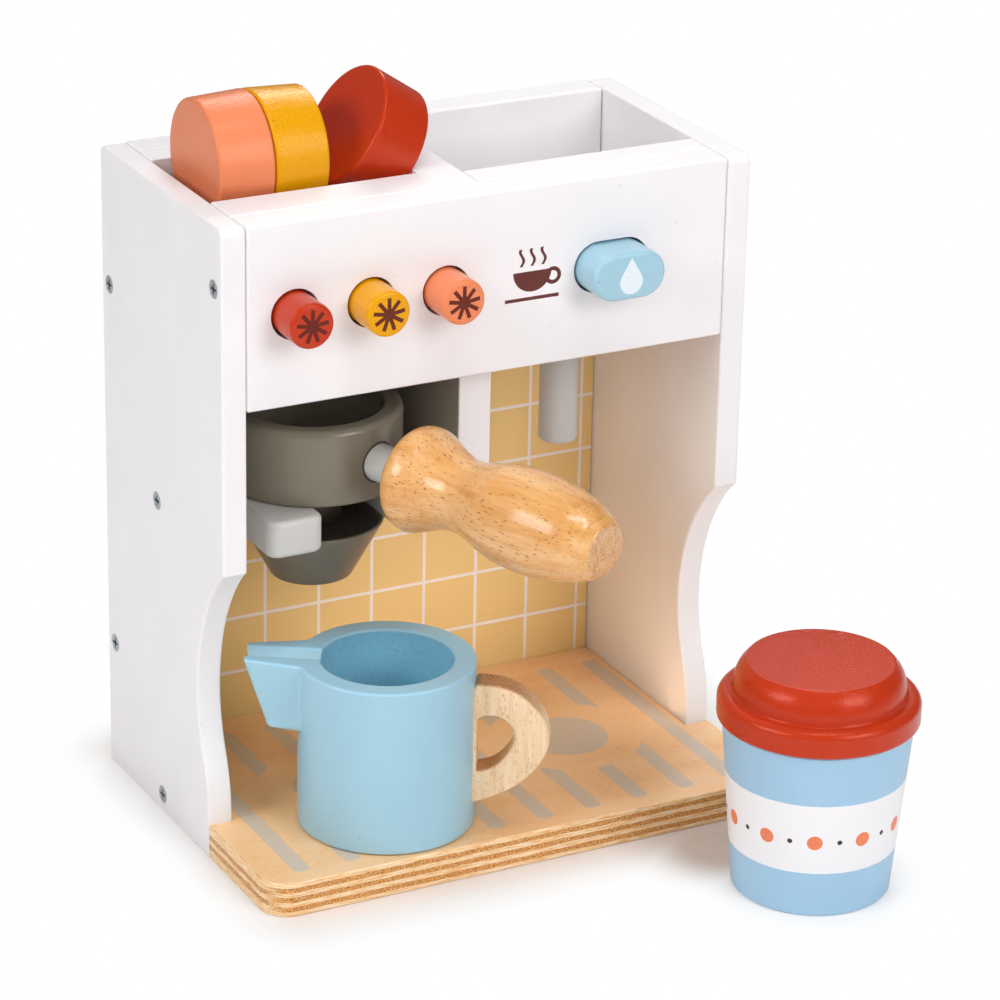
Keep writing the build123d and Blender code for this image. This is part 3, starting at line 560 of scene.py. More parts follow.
def drop_mask(tree, parts, centre, front):
    """Mask of a water drop: a disc and, above it, the wedge of its two tangents to the tip."""
    x, y, z = parts
    low = (centre[0] + DROP_SHIFT[0], centre[1] + DROP_SHIFT[1])
    half_angle = math.asin(DROP_R / DROP_TIP)
    round_part = disc(tree, x, z, low, DROP_R)
    down = add(tree, MATH, (low[1] + DROP_TIP, z), operation="SUBTRACT")
    half = add(tree, MATH, (down, math.tan(half_angle)), operation="MULTIPLY")
    side = add(tree, MATH, (x, low[0]), operation="SUBTRACT")
    side = add(tree, MATH, (side,), operation="ABSOLUTE")
    wedge = add(tree, MATH, (side, half), operation="LESS_THAN")
    tangent = low[1] + DROP_R * math.sin(half_angle)
    wedge = both(tree, wedge, within(tree, z, tangent, low[1] + DROP_TIP))
    return both(tree, either(tree, round_part, wedge), on_face(tree, y, front))


def cup_pictogram(tree, parts, front):
    """Mask of a plain cup sign: half a disc, a ring for its handle, a saucer and wisps of steam.

    A wisp is where |x - x0 - 0.75 sin(0.85 z)| is under its half width.
    """
    x, y, z = parts
    bowl = both(tree, disc(tree, x, z, (17.0, 226.5), 8.2), within(tree, z, 217.5, 226.5))
    handle = within(tree, distance(tree, x, z, (25.8, 223.6)), 1.9, 3.5)
    saucer = both(tree, within(tree, x, 5.5, 28.5), within(tree, z, 214.9, 216.3))
    sign = either(tree, either(tree, bowl, handle), saucer)
    sway = add(tree, MATH, (z, 0.85), operation="MULTIPLY")
    sway = add(tree, MATH, (sway,), operation="SINE")
    swayed = add(tree, MATH, (sway, -0.75, x), operation="MULTIPLY_ADD")
    wisps = both(tree, within(tree, repeat_offset(tree, swayed, 17.0, 4.6), -0.1, 0.62),
                 within(tree, swayed, 10.6, 23.4))
    wisps = both(tree, wisps, within(tree, z, 228.6, 235.6))
    return both(tree, either(tree, sign, wisps), on_face(tree, y, front))


def signed_fascia(paints):
    """White lacquered board with a plain brown cup sign printed on its face."""
    material, tree, shader = sprayed_lacquer("printed_white_lacquer", paints.white, grain=(22, 1.2, 1.2))
    parts = millimetres(tree)[1]
    overprint(tree, shader, cup_pictogram(tree, parts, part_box("front_fascia")[0].y / MM), paints.brown)
    return material


def banded_cup_lacquer(paints):
    """Blue satin lacquer with a masked white band and a plain row of dots printed around it."""
    material, tree, shader = sprayed_lacquer("banded_cup_lacquer", paints.cup_blue)
    vector, (x, y, z) = millimetres(tree)
    low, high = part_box("cup_body")
    centre = ((low.x + high.x) / 2 / MM, (low.y + high.y) / 2 / MM)
    wavy = stretched_noise(tree, vector, (3, 3, 3))
    edge = add(tree, MATH, (wavy, 0.35, z), operation="MULTIPLY_ADD")
    far = distance(tree, x, y, centre)
    outside = add(tree, MATH, (far, BAND_INNER_R), operation="GREATER_THAN")
    band = both(tree, within(tree, edge, *BAND_Z), outside)
    overprint(tree, shader, band, paints.white)
    angle = bearing(tree, x, y, centre)
    around = add(tree, MATH, (angle, BAND_R), operation="MULTIPLY")
    pitch = 2 * math.pi * BAND_R / DOTS_AROUND
    first = math.radians(FIRST_DOT) * BAND_R + pitch / 2
    inks = (paints.dot_orange, linear("#3A2A24"))
    for shift, radius, colour in zip((0, pitch / 2), DOT_R, inks):
        off = repeat_offset(tree, around, first + shift, pitch)
        dots = disc(tree, off, z, (0.0, DOTS_Z), radius)
        overprint(tree, shader, both(tree, dots, outside), colour)
    return material


# Meshes

def rounded(corners, closed=False, steps=8):
    """Line through (a, b, radius) corners, each an arc of centre + radius * (cos t, sin t)."""
    points = np.array([corner[:2] for corner in corners], float)
    pieces = []
    for i, (point, (_, _, radius)) in enumerate(zip(points, corners)):
        end = not closed and i in (0, len(points) - 1)
        if end or radius == 0:
            pieces.append(point[None])
            continue
        back = points[i - 1] - point
        on = points[(i + 1) % len(points)] - point
        back, on = back / np.linalg.norm(back), on / np.linalg.norm(on)
        half = math.acos(np.clip(back @ on, -1, 1)) / 2
        middle = (back + on) / np.linalg.norm(back + on)
        centre = point + middle * radius / math.sin(half)
        first = point + back * radius / math.tan(half) - centre
        last = point + on * radius / math.tan(half) - centre
        t0 = math.atan2(first[1], first[0])
        sweep = (math.atan2(last[1], last[0]) - t0 + math.pi) % (2 * math.pi) - math.pi
        t = t0 + sweep * np.linspace(0, 1, steps + 1)
        pieces.append(centre + radius * np.column_stack((np.cos(t), np.sin(t))))
    return np.concatenate(pieces)


def curve_through(points, count):
    """Natural cubic spline through points, by chord length: each part is a cubic whose second
    derivatives solve the usual three-term system, with zero at both ends."""
    points = np.array(points, float)
    step = np.linalg.norm(np.diff(points, axis=0), axis=1)
    t = np.concatenate(([0], np.cumsum(step)))
    n = len(points)
    system = np.eye(n)
    rows = np.arange(1, n - 1)
    system[rows, rows - 1] = step[:-1]
    system[rows, rows] = 2 * (step[:-1] + step[1:])
    system[rows, rows + 1] = step[1:]
    slope = np.diff(points, axis=0) / step[:, None]
    right = np.zeros_like(points)
    right[1:-1] = 6 * np.diff(slope, axis=0)
    bend = np.linalg.solve(system, right)
    at = np.linspace(0, t[-1], count)
    i = np.clip(np.searchsorted(t, at, side="right") - 1, 0, n - 2)
    h, a, b = step[i][:, None], (t[i + 1] - at)[:, None], (at - t[i])[:, None]
    return ((bend[i] * a ** 3 + bend[i + 1] * b ** 3) / (6 * h)
            + (points[i] / h - bend[i] * h / 6) * a + (points[i + 1] / h - bend[i + 1] * h / 6) * b)


def frame_of(axis):
    """Two unit vectors square to an axis, and the axis, as rows."""
    axis = np.array(axis, float) / np.linalg.norm(axis)
    helper = np.array((1.0, 0, 0)) if abs(axis[0]) < 0.9 else np.array((0, 1.0, 0))
    side = np.cross(axis, helper)
    side /= np.linalg.norm(side)
    return np.array((side, np.cross(axis, side), axis))


def quads(rows, columns, along=False):
    """Faces of a grid whose rows are rings: (i, j), (i, j+1), (i+1, j+1), (i+1, j).

    With along, the last row joins the first.
    """
    i, j = np.meshgrid(np.arange(rows if along else rows - 1), np.arange(columns), indexing="ij")
    ni, nj = (i + 1) % rows, (j + 1) % columns
    faces = np.stack((i * columns + j, i * columns + nj, ni * columns + nj, ni * columns + j), -1)
    return faces.reshape(-1, 4).tolist()


def grid_piece(name, points, along=False):
    """Mesh object of a grid of points (rows, columns, 3)."""
    return finished_piece(name, points.reshape(-1, 3), quads(*points.shape[:2], along))


def finished_piece(name, points, faces):
    """Object from points in millimetres: doubles merged, faces outwards, smooth with flat flats."""
    mesh = bpy.data.meshes.new(name)
    mesh.from_pydata((points * MM).tolist(), [], faces)
    work = bmesh.new()
    work.from_mesh(mesh)
    bmesh.ops.remove_doubles(work, verts=work.verts, dist=1e-7)
    bmesh.ops.recalc_face_normals(work, faces=work.faces)
    work.to_mesh(mesh)
    work.free()
    mesh.shade_smooth()
    piece = bpy.data.objects.new(name, mesh)
    bpy.context.scene.collection.objects.link(piece)
    weighted = piece.modifiers.new("flat_faces", "WEIGHTED_NORMAL")
    weighted.keep_sharp = True
    weighted.weight = 80
    return piece


def turned(name, profile, centre, axis=(0, 0, 1), steps=160):
    """Turned piece: centre + r * (cos t * side + sin t * other) + h * axis for (r, h) of a profile."""
    side, other, axis = frame_of(axis)
    t = np.linspace(0, 2 * math.pi, steps, endpoint=False)
    ring = np.cos(t)[:, None] * side + np.sin(t)[:, None] * other
    points = np.array(centre, float) + profile[:, None, :1] * ring + profile[:, None, 1:] * axis
    return grid_piece(name, points)


def dowel(first, last):
    """Profile of a solid turned piece between two ends, each a (height, radius, rounding)."""
    return rounded(((0, first[0], 0), (first[1], first[0], first[2]),
                    (last[1], last[0], last[2]), (0, last[0], 0)))


def inwards(outline):
    """Mitre directions of a closed outline: a step of d along them moves every side in by d."""
    ahead, behind = np.roll(outline, -1, axis=0), np.roll(outline, 1, axis=0)
    area = np.sum(outline[:, 0] * ahead[:, 1] - ahead[:, 0] * outline[:, 1])
    first, second = outline - behind, ahead - outline
    first /= np.linalg.norm(first, axis=1)[:, None]
    second /= np.linalg.norm(second, axis=1)[:, None]
    inward = np.sign(area) * np.column_stack((-(first + second)[:, 1], (first + second)[:, 0]))
    return inward / (0.5 * np.linalg.norm(first + second, axis=1)[:, None] ** 2)


def prism(name, outline, low, high, rounding, place):
    """Board cut to a closed outline, with both rims rounded.

    Row k of the side is the outline moved inwards by rounding * (1 - cos a) at the depth
    low + rounding * (1 - sin a), and the same at the top. place maps (a, b, depth) to X, Y, Z.
    """
    inward = inwards(outline)
    a = np.linspace(0, math.pi / 2, 6)
    inset = np.concatenate((rounding * (1 - np.sin(a)), rounding * (1 - np.cos(a))))
    depth = np.concatenate((low + rounding * (1 - np.cos(a)), high - rounding * (1 - np.sin(a))))
    flat = outline + inset[:, None, None] * inward
    level = np.broadcast_to(depth[:, None, None], (*flat.shape[:2], 1))
    points = place(np.concatenate((flat, level), axis=2))
    rows, columns = flat.shape[:2]
    caps = [list(range(columns))[::-1], list(range((rows - 1) * columns, rows * columns))]
    return finished_piece(name, points.reshape(-1, 3), quads(rows, columns) + caps)


def dress(piece, material, body, slot, *nodes):
    """Gives a piece its finish and its body, and lets it stand for CAD nodes."""
    piece.data.materials.append(material)
    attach(piece, body)
    if nodes:
        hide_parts(*nodes)
    return piece


def paint(node, material):
    """Gives a CAD node's own mesh a finish."""
    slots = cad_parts[node].data.materials
    slots.clear()
    slots.append(material)


def box_mm(node):
    """Lowest and highest corners of a CAD node in millimetres."""
    low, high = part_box(node)
    return np.array(low) / MM, np.array(high) / MM


def foot_of(node):
    """Middle of the underside of a CAD node in millimetres."""
    low, high = box_mm(node)
    return np.array(((low[0] + high[0]) / 2, (low[1] + high[1]) / 2, low[2]))


def size_of(node):
    """Size of a CAD node's box in millimetres."""
    low, high = box_mm(node)
    return high - low


def grip_axes():
    """Start of the grip in millimetres, and its axes as rows, the last one out along the grip."""
    angle, droop = math.radians(GRIP_ANGLE), math.radians(GRIP_DROOP)
    out = np.array((math.cos(angle) * math.cos(droop), -math.sin(angle) * math.cos(droop),
                    -math.sin(droop)))
    return foot_of("filter_cup") + STEM_RISE * UP + GRIP_START * out, frame_of(out)


# Settings

def paint_setting(name, description, hex_colour):
    """Colour setting with an sRGB hex default."""
    return FloatVectorProperty(name=name, description=description, subtype="COLOR", size=4,
                               min=0.0, max=1.0, default=linear(hex_colour))


class ToyPaints(bpy.types.PropertyGroup):
    """Colours of the lacquers, woods and prints, and the blues painted for the light in the jug's bowl
    and on its rim.
    """

    white: paint_setting("White", "Lacquer of the cabinet's boards", "#F1EEF0")
    light_grey: paint_setting("Light grey", "Lacquer of the fork, the stem and the spout", "#C9C8C5")
    dark_grey: paint_setting("Dark grey", "Lacquer of the filter holder", "#7F7869")
    divider_side_grey: paint_setting("Shaded grey", "Lacquer of the divider's side", "#AEA699")
    blue: paint_setting("Blue", "Lacquer of the jug and the water button", "#A2CADB")
    # Painted light: the next two blues draw the bounced light in the jug's bowl and the light on its rim
    bowl_painted_bounce_blue: paint_setting("Bowl blue", "Lacquer inside the jug", "#8ECDE6")
    rim_painted_light_blue: paint_setting("Rim blue", "Lacquer on the jug's rim", "#A4D3E9")
    cup_blue: paint_setting("Cup blue", "Lacquer of the cup", "#A2C6E0")
    red: paint_setting("Red", "Lacquer of the lid, a pod and a button", "#BE3717")
    yellow: paint_setting("Yellow", "Lacquer of a pod and a button", "#E6A000")
    peach: paint_setting("Peach", "Lacquer of a pod and a button", "#EA875B")
    tile: paint_setting("Tile", "Ink of the tile print", "#ECCF8E")
    print_grey: paint_setting("Print grey", "Ink of the drip grate print", "#CDC4B8")
    brown: paint_setting("Brown", "Ink of the asterisks and the cup sign", "#5E1A0E")
    drop: paint_setting("Drop", "Ink of the water drop", "#E4EEF4")
    dot_orange: paint_setting("Dot orange", "Ink of the dots on the cup", "#EE8052")
    plywood: paint_setting("Plywood", "Birch veneer of the base", "#FDCD99")
    hardwood: paint_setting("Hardwood", "Varnished wood of the grip", "#E2A45C")
    beech: paint_setting("Beech", "Bare wood of the jug's handle", "#F3D2AA")


class ToyShapes(bpy.types.PropertyGroup):
    """Roundings of the smooth pieces."""

    rim_rounding: FloatProperty(name="Filter rim rounding", description="Outer rim of the filter cup",
                                unit="LENGTH", default=0.0028)
    fork_rounding: FloatProperty(name="Fork rounding", description="Edges of the fork",
                                 unit="LENGTH", default=0.0022)
    button_rounding: FloatProperty(name="Button rounding", description="Front edge of each button",
                                   unit="LENGTH", default=0.0016)
    pod_rounding: FloatProperty(name="Pod rounding", description="Rims of the pods",
                                unit="LENGTH", default=0.0012)
    jug_rounding: FloatProperty(name="Jug rounding", description="Edges of the jug",
                                unit="LENGTH", default=0.0010)


# Operators

class ToyOperator:
    """What the toy's operators share."""

    bl_options = {"REGISTER", "UNDO"}

    def execute(self, context):
        """Builds the piece from the scene's settings."""
        self.build(context.scene.toy_paints, context.scene.toy_shapes)
        return {"FINISHED"}


class TOY_OT_cabinet(ToyOperator, bpy.types.Operator):
    """Finish the boards, the prints, the screws and the hidden pieces"""

    bl_idname = "toy.cabinet"
    bl_label = "Cabinet"

    def build(self, paints, shapes):
        upright = sprayed_lacquer("white_lacquer", paints.white, grain=(1.2, 1.2, 30))[0]
        for node in WHITE_BOARDS:
            paint(node, upright)
        paint("front_fascia", signed_fascia(paints))
        paint("divider", two_sided_divider(paints))
        paint("back_panel", tile_printed_board(paints))
        paint("base_board", birch_plywood(paints))
        zinc = zinc_plate()
        for node in SCREW_NODES:
            paint(node, zinc)
        beech, wire = sanded_beech(paints), drawn_wire()
        for colour in BUTTONS:
            paint(colour + "_button_collar", beech)
            self.spring(colour, wire)

    def spring(self, colour, material):
        """Coil behind a button.

        Its middle line is centre + R * (cos u, 0, sin u) + rise * u along Y. The wire is a circle
        around it, in the plane of (cos u, 0, sin u) and the line's third direction.
        """
        low, high = box_mm(colour + "_button_spring")
        coil_r = (high[0] - low[0]) / 2 - SPRING_WIRE_R
        length = high[1] - low[1]
        u = np.linspace(0, 2 * math.pi * SPRING_TURNS, 40 * SPRING_TURNS + 1)
        rise = (length - 2 * SPRING_WIRE_R) / u[-1]
        out = np.column_stack((np.cos(u), 0 * u, np.sin(u)))
        along = np.column_stack((-coil_r * np.sin(u), rise + 0 * u, coil_r * np.cos(u)))
        along /= np.linalg.norm(along, axis=1)[:, None]
        third = np.cross(along, out)
        centre = (low + high) / 2
        centre[1] = low[1] + SPRING_WIRE_R
        line = centre + coil_r * out + np.column_stack((0 * u, rise * u, 0 * u))
        v = np.linspace(0, 2 * math.pi, 12, endpoint=False)[:, None]
        section = np.cos(v) * out[:, None] + np.sin(v) * third[:, None]
        points = line[:, None] + SPRING_WIRE_R * section
        points = np.concatenate((line[:1, None].repeat(12, 1), points, line[-1:, None].repeat(12, 1)))
        piece = grid_piece(colour + "_button_coil", points)
        dress(piece, material, "cabinet", "spring_steel", colour + "_button_spring")
        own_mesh(piece)


class TOY_OT_spout(ToyOperator, bpy.types.Operator):
    """Make the dowel that stands for the water spout"""

    bl_idname = "toy.spout"
    bl_label = "Water spout"

    def build(self, paints, shapes):
        width, _, height = size_of("water_spout")
        profile = dowel((0, width / 2, 2.0), (height, width / 2, 0.3))
        # Painted shade: the spout's light grey is drawn at 0.82 for the shade it stands in
        grey = sprayed_lacquer("grey_lacquer_dowel", shade(paints.light_grey, 0.82), roughness=0.36)[0]
        dress(turned("water_spout_dowel", profile, foot_of("water_spout")), grey, "cabinet",
              "light_grey_paint", "water_spout")


class TOY_OT_fork(ToyOperator, bpy.types.Operator):
    """Make the fork that carries the filter holder"""

    bl_idname = "toy.fork"
    bl_label = "Fork"

    def build(self, paints, shapes):
        low, high = box_mm("portafilter_fork")
        cx, cy = foot_of("filter_cup")[:2]
        near, far = cx - NECK_R - NECK_PLAY, cx - NECK_R - NECK_PLAY + FORK_SLOT
        shoulder, front = low[1] + FORK_ARM_LENGTH, low[1]
        t = np.linspace(math.pi, 0, 24)
        throat = np.column_stack(((near + far) / 2 + FORK_SLOT / 2 * np.cos(t),
                                  cy + FORK_SLOT / 2 * np.sin(t)))
        outer_left, outer_right = near - FORK_ARM_WIDTH, far + FORK_ARM_WIDTH
        left = rounded(((low[0], high[1], 0), (low[0], shoulder, 0), (outer_left, shoulder, 1.5),
                        (outer_left, front, 5.0), (near, front, 5.0), (near, cy, 0)))
        right = rounded(((far, cy, 0), (far, front, 5.0), (outer_right, front, 5.0),
                         (outer_right, shoulder, 1.2), (high[0], shoulder, 0), (high[0], high[1], 0)))
        outline = np.concatenate((left[:-1], throat, right[1:]))
        rounding = shapes.fork_rounding / MM
        piece = prism("filter_fork", outline, low[2], high[2], rounding, lambda p: p)
        grey = sprayed_lacquer("light_grey_lacquer", paints.light_grey, grain=(1.2, 20, 1.2),
                               relief=0.00007)[0]
        dress(piece, grey, "cabinet", "light_grey_paint", "portafilter_fork")


class TOY_OT_filter_holder(ToyOperator, bpy.types.Operator):
    """Make the filter cup, its neck and cone, the stem and the turned grip"""

    bl_idname = "toy.filter_holder"
    bl_label = "Filter holder"

    def build(self, paints, shapes):
        grey = sprayed_lacquer("dark_grey_lacquer", paints.dark_grey, roughness=0.25,
                               relief=0.00006)[0]
        shaded = self.spindle_lacquer(paints)
        centre = foot_of("filter_cup")
        width, _, height = size_of("filter_cup")
        radius, rim = width / 2, shapes.rim_rounding / MM
        cup = rounded(((0, 6, 0), (FILTER_INNER_R, 6, 1.0), (FILTER_INNER_R, height, 1.6),
                       (radius, height, rim), (radius, 0, 1.0), (0, 0, 0)))
        dress(turned("filter_cup_turned", cup, centre, steps=224), grey, "portafilter",
              "dark_grey_paint", "filter_cup")
        for node, foot, top, steps in (("filter_neck", (NECK_R, 0.3), (NECK_R, 0.3), 160),
                                       ("filter_cone", (CONE_R[0], 1.2), (CONE_R[1], 1.0), 200)):
            profile = dowel((0, *foot), (size_of(node)[2], *top))
            piece = turned(node + "_turned", profile, (*centre[:2], foot_of(node)[2]), steps=steps)
            dress(piece, shaded, "portafilter_spindle", "dark_grey_paint", node)
        self.stem_mouth(centre, radius)
        self.grip(paints)

    def spindle_lacquer(self, paints):
        """Dark grey lacquer with painted shade: nearly black on the neck and on the cone's upper face,
        where the filter cup shades them.
        """
        material, tree, shader = sprayed_lacquer("dark_grey_spindle_lacquer", paints.dark_grey,
                                                 roughness=0.3)
        _, (_, _, z) = millimetres(tree)
        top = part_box("filter_cone")[1].z / MM
        # Painted shade: everything above the cone's upper face, the neck too, is drawn at 0.3 of the
        # grey
        above = add(tree, MATH, (z, top - 0.3), operation="GREATER_THAN")
        overprint(tree, shader, above, shade(paints.dark_grey, 0.3))
        return material

    def stem_mouth(self, centre, radius):
        """Dark ring painted around the stem as the shade in the gap of its hole.

        The point at stem radius r and angle t lies out along the stem where it meets the cup's
        wall, raised by a hair.
        """
        origin, (side, other, axis) = grip_axes()
        t = np.linspace(0, 2 * math.pi, 96, endpoint=False)[:, None]
        ring = np.array(HOLE_R)[:, None, None] * (np.cos(t) * side + np.sin(t) * other)
        lift = np.array(HOLE_LIFT)[:, None]
        start_at = origin - GRIP_START * axis + ring
        plan = start_at[..., :2] - np.array(centre[:2])
        a, b = axis[:2] @ axis[:2], plan @ axis[:2]
        reach = (-b + np.sqrt(b ** 2 - a * (np.sum(plan ** 2, axis=-1) - (radius + lift) ** 2))) / a
        # Painted shade: a dark brown sheet lies where the gap around the stem would be
        edge = start("worn_hole_edge", Roughness=0.7, Base_Color=linear("#4A382A"))[0]
        piece = grid_piece("stem_mouth_edge", start_at + reach[..., None] * axis, along=True)
        dress(piece, edge, "portafilter", "dark_grey_paint")

    def grip(self, paints):
        """Stem dowel and turned grip on the slanted axis."""
        start_at, axes = grip_axes()
        stem = dowel((-20, STEM_R, 0.3), (20, STEM_R, 0.3))
        light = sprayed_lacquer("light_grey_lacquer_stem", paints.light_grey, roughness=0.36)[0]
        dress(turned("handle_stem_dowel", stem, start_at, axes[2], steps=96), light, "portafilter",
              "light_grey_paint", "handle_stem")
        outside = curve_through((
            (7.6, 0.35), (14.5, 0.2), (17.6, 0.75), (19.8, 2.6), (20.7, 6.0), (20.4, 8.8),
            (19.3, 11.8), (16.4, 19.0), (14.5, 26.0), (14.4, 31.5), (15.8, 38.0), (18.0, 45.5),
            (19.4, 55.0), (19.6, 63.0), (18.8, 73.0), (16.7, 82.5), (14.2, 89.0), (12.9, 91.6)), 120)
        end = rounded(((12.9, 91.6, 0), (12.5, 92.7, 0.4), (11.8, 92.9, 0.4), (9.8, GRIP_LENGTH, 1.2),
                       (0, GRIP_LENGTH, 0)))
        profile = np.concatenate((((0, 0.35),), outside[:-1], end))
        dress(turned("handle_grip_turned", profile, start_at, axes[2], steps=192),
              varnished_hardwood(paints), "portafilter", "varnished_hardwood", "handle_grip")


class TOY_OT_buttons(ToyOperator, bpy.types.Operator):
    """Make the three round buttons and the long one, with their prints"""

    bl_idname = "toy.buttons"
    bl_label = "Buttons"

    def build(self, paints, shapes):
        rounding = shapes.button_rounding / MM
        for name in BUTTONS:
            low, high = box_mm(name + "_button")
            centre = ((low[0] + high[0]) / 2, high[1], (low[2] + high[2]) / 2)
            length, radius = high[1] - low[1], (high[2] - low[2]) / 2
            material, tree, shader = sprayed_lacquer(name + "_button_lacquer", getattr(paints, name),
                                                     roughness=0.27, grain=(1.0, 20, 1.0))
            _, parts = millimetres(tree)
            where = (centre[0], centre[2])
            if name == "blue":
                half, turn = (high[0] - low[0]) / 2, radius - 0.01
                outline = rounded(((-half, -radius, turn), (half, -radius, turn),
                                   (half, radius, turn), (-half, radius, turn)), True, 24)
                piece = prism(
                    "blue_button_turned", outline, 0, length, rounding,
                    lambda p: np.array(centre) + np.stack((p[..., 0], -p[..., 2], p[..., 1]), -1))
                overprint(tree, shader, drop_mask(tree, parts, where, low[1]), paints.drop)
            else:
                profile = dowel((0, radius, 0.3), (length, radius, rounding))
                piece = turned(name + "_button_turned", profile, centre, (0, -1, 0), 128)
                overprint(tree, shader, asterisk_mask(tree, parts, where, low[1]), paints.brown)
            dress(piece, material, name + "_button", name + "_paint", name + "_button")


class TOY_OT_pods(ToyOperator, bpy.types.Operator):
    """Make the three turned pods"""

    bl_idname = "toy.pods"
    bl_label = "Pods"

    def build(self, paints, shapes):
        tilt = math.radians(RED_POD_TILT)
        places = {"peach": (-1, 0, 0), "yellow": (1, 0, 0), "red": (math.cos(tilt), 0, -math.sin(tilt))}
        rounding = shapes.pod_rounding / MM
        large, small = POD_R
        profile = dowel((0, large, rounding), (POD_LENGTH, small, rounding))
        for name, axis in places.items():
            low, high = box_mm(name + "_pod")
            middle_y = (low[1] + high[1]) / 2
            if name == "red":
                centre = (low[0] + large * math.sin(tilt) - rounding * 0.2, middle_y,
                          high[2] - large * math.cos(tilt) - rounding * 0.1)
            else:
                centre = (high[0] if name == "peach" else low[0], middle_y, (low[2] + high[2]) / 2)
            grain, relief = ((1.6, 2.4, 1.6), 0.0001) if name == "red" else ((7, 0.8, 0.8), 0.0002)
            lacquer = sprayed_lacquer(name + "_pod_lacquer", getattr(paints, name), roughness=0.21,
                                      grain=grain, relief=relief, dents=1.0, peel=0.9)[0]
            dress(turned(name + "_pod_turned", profile, centre, axis, 192), lacquer, name + "_pod",
                  name + "_paint", name + "_pod")


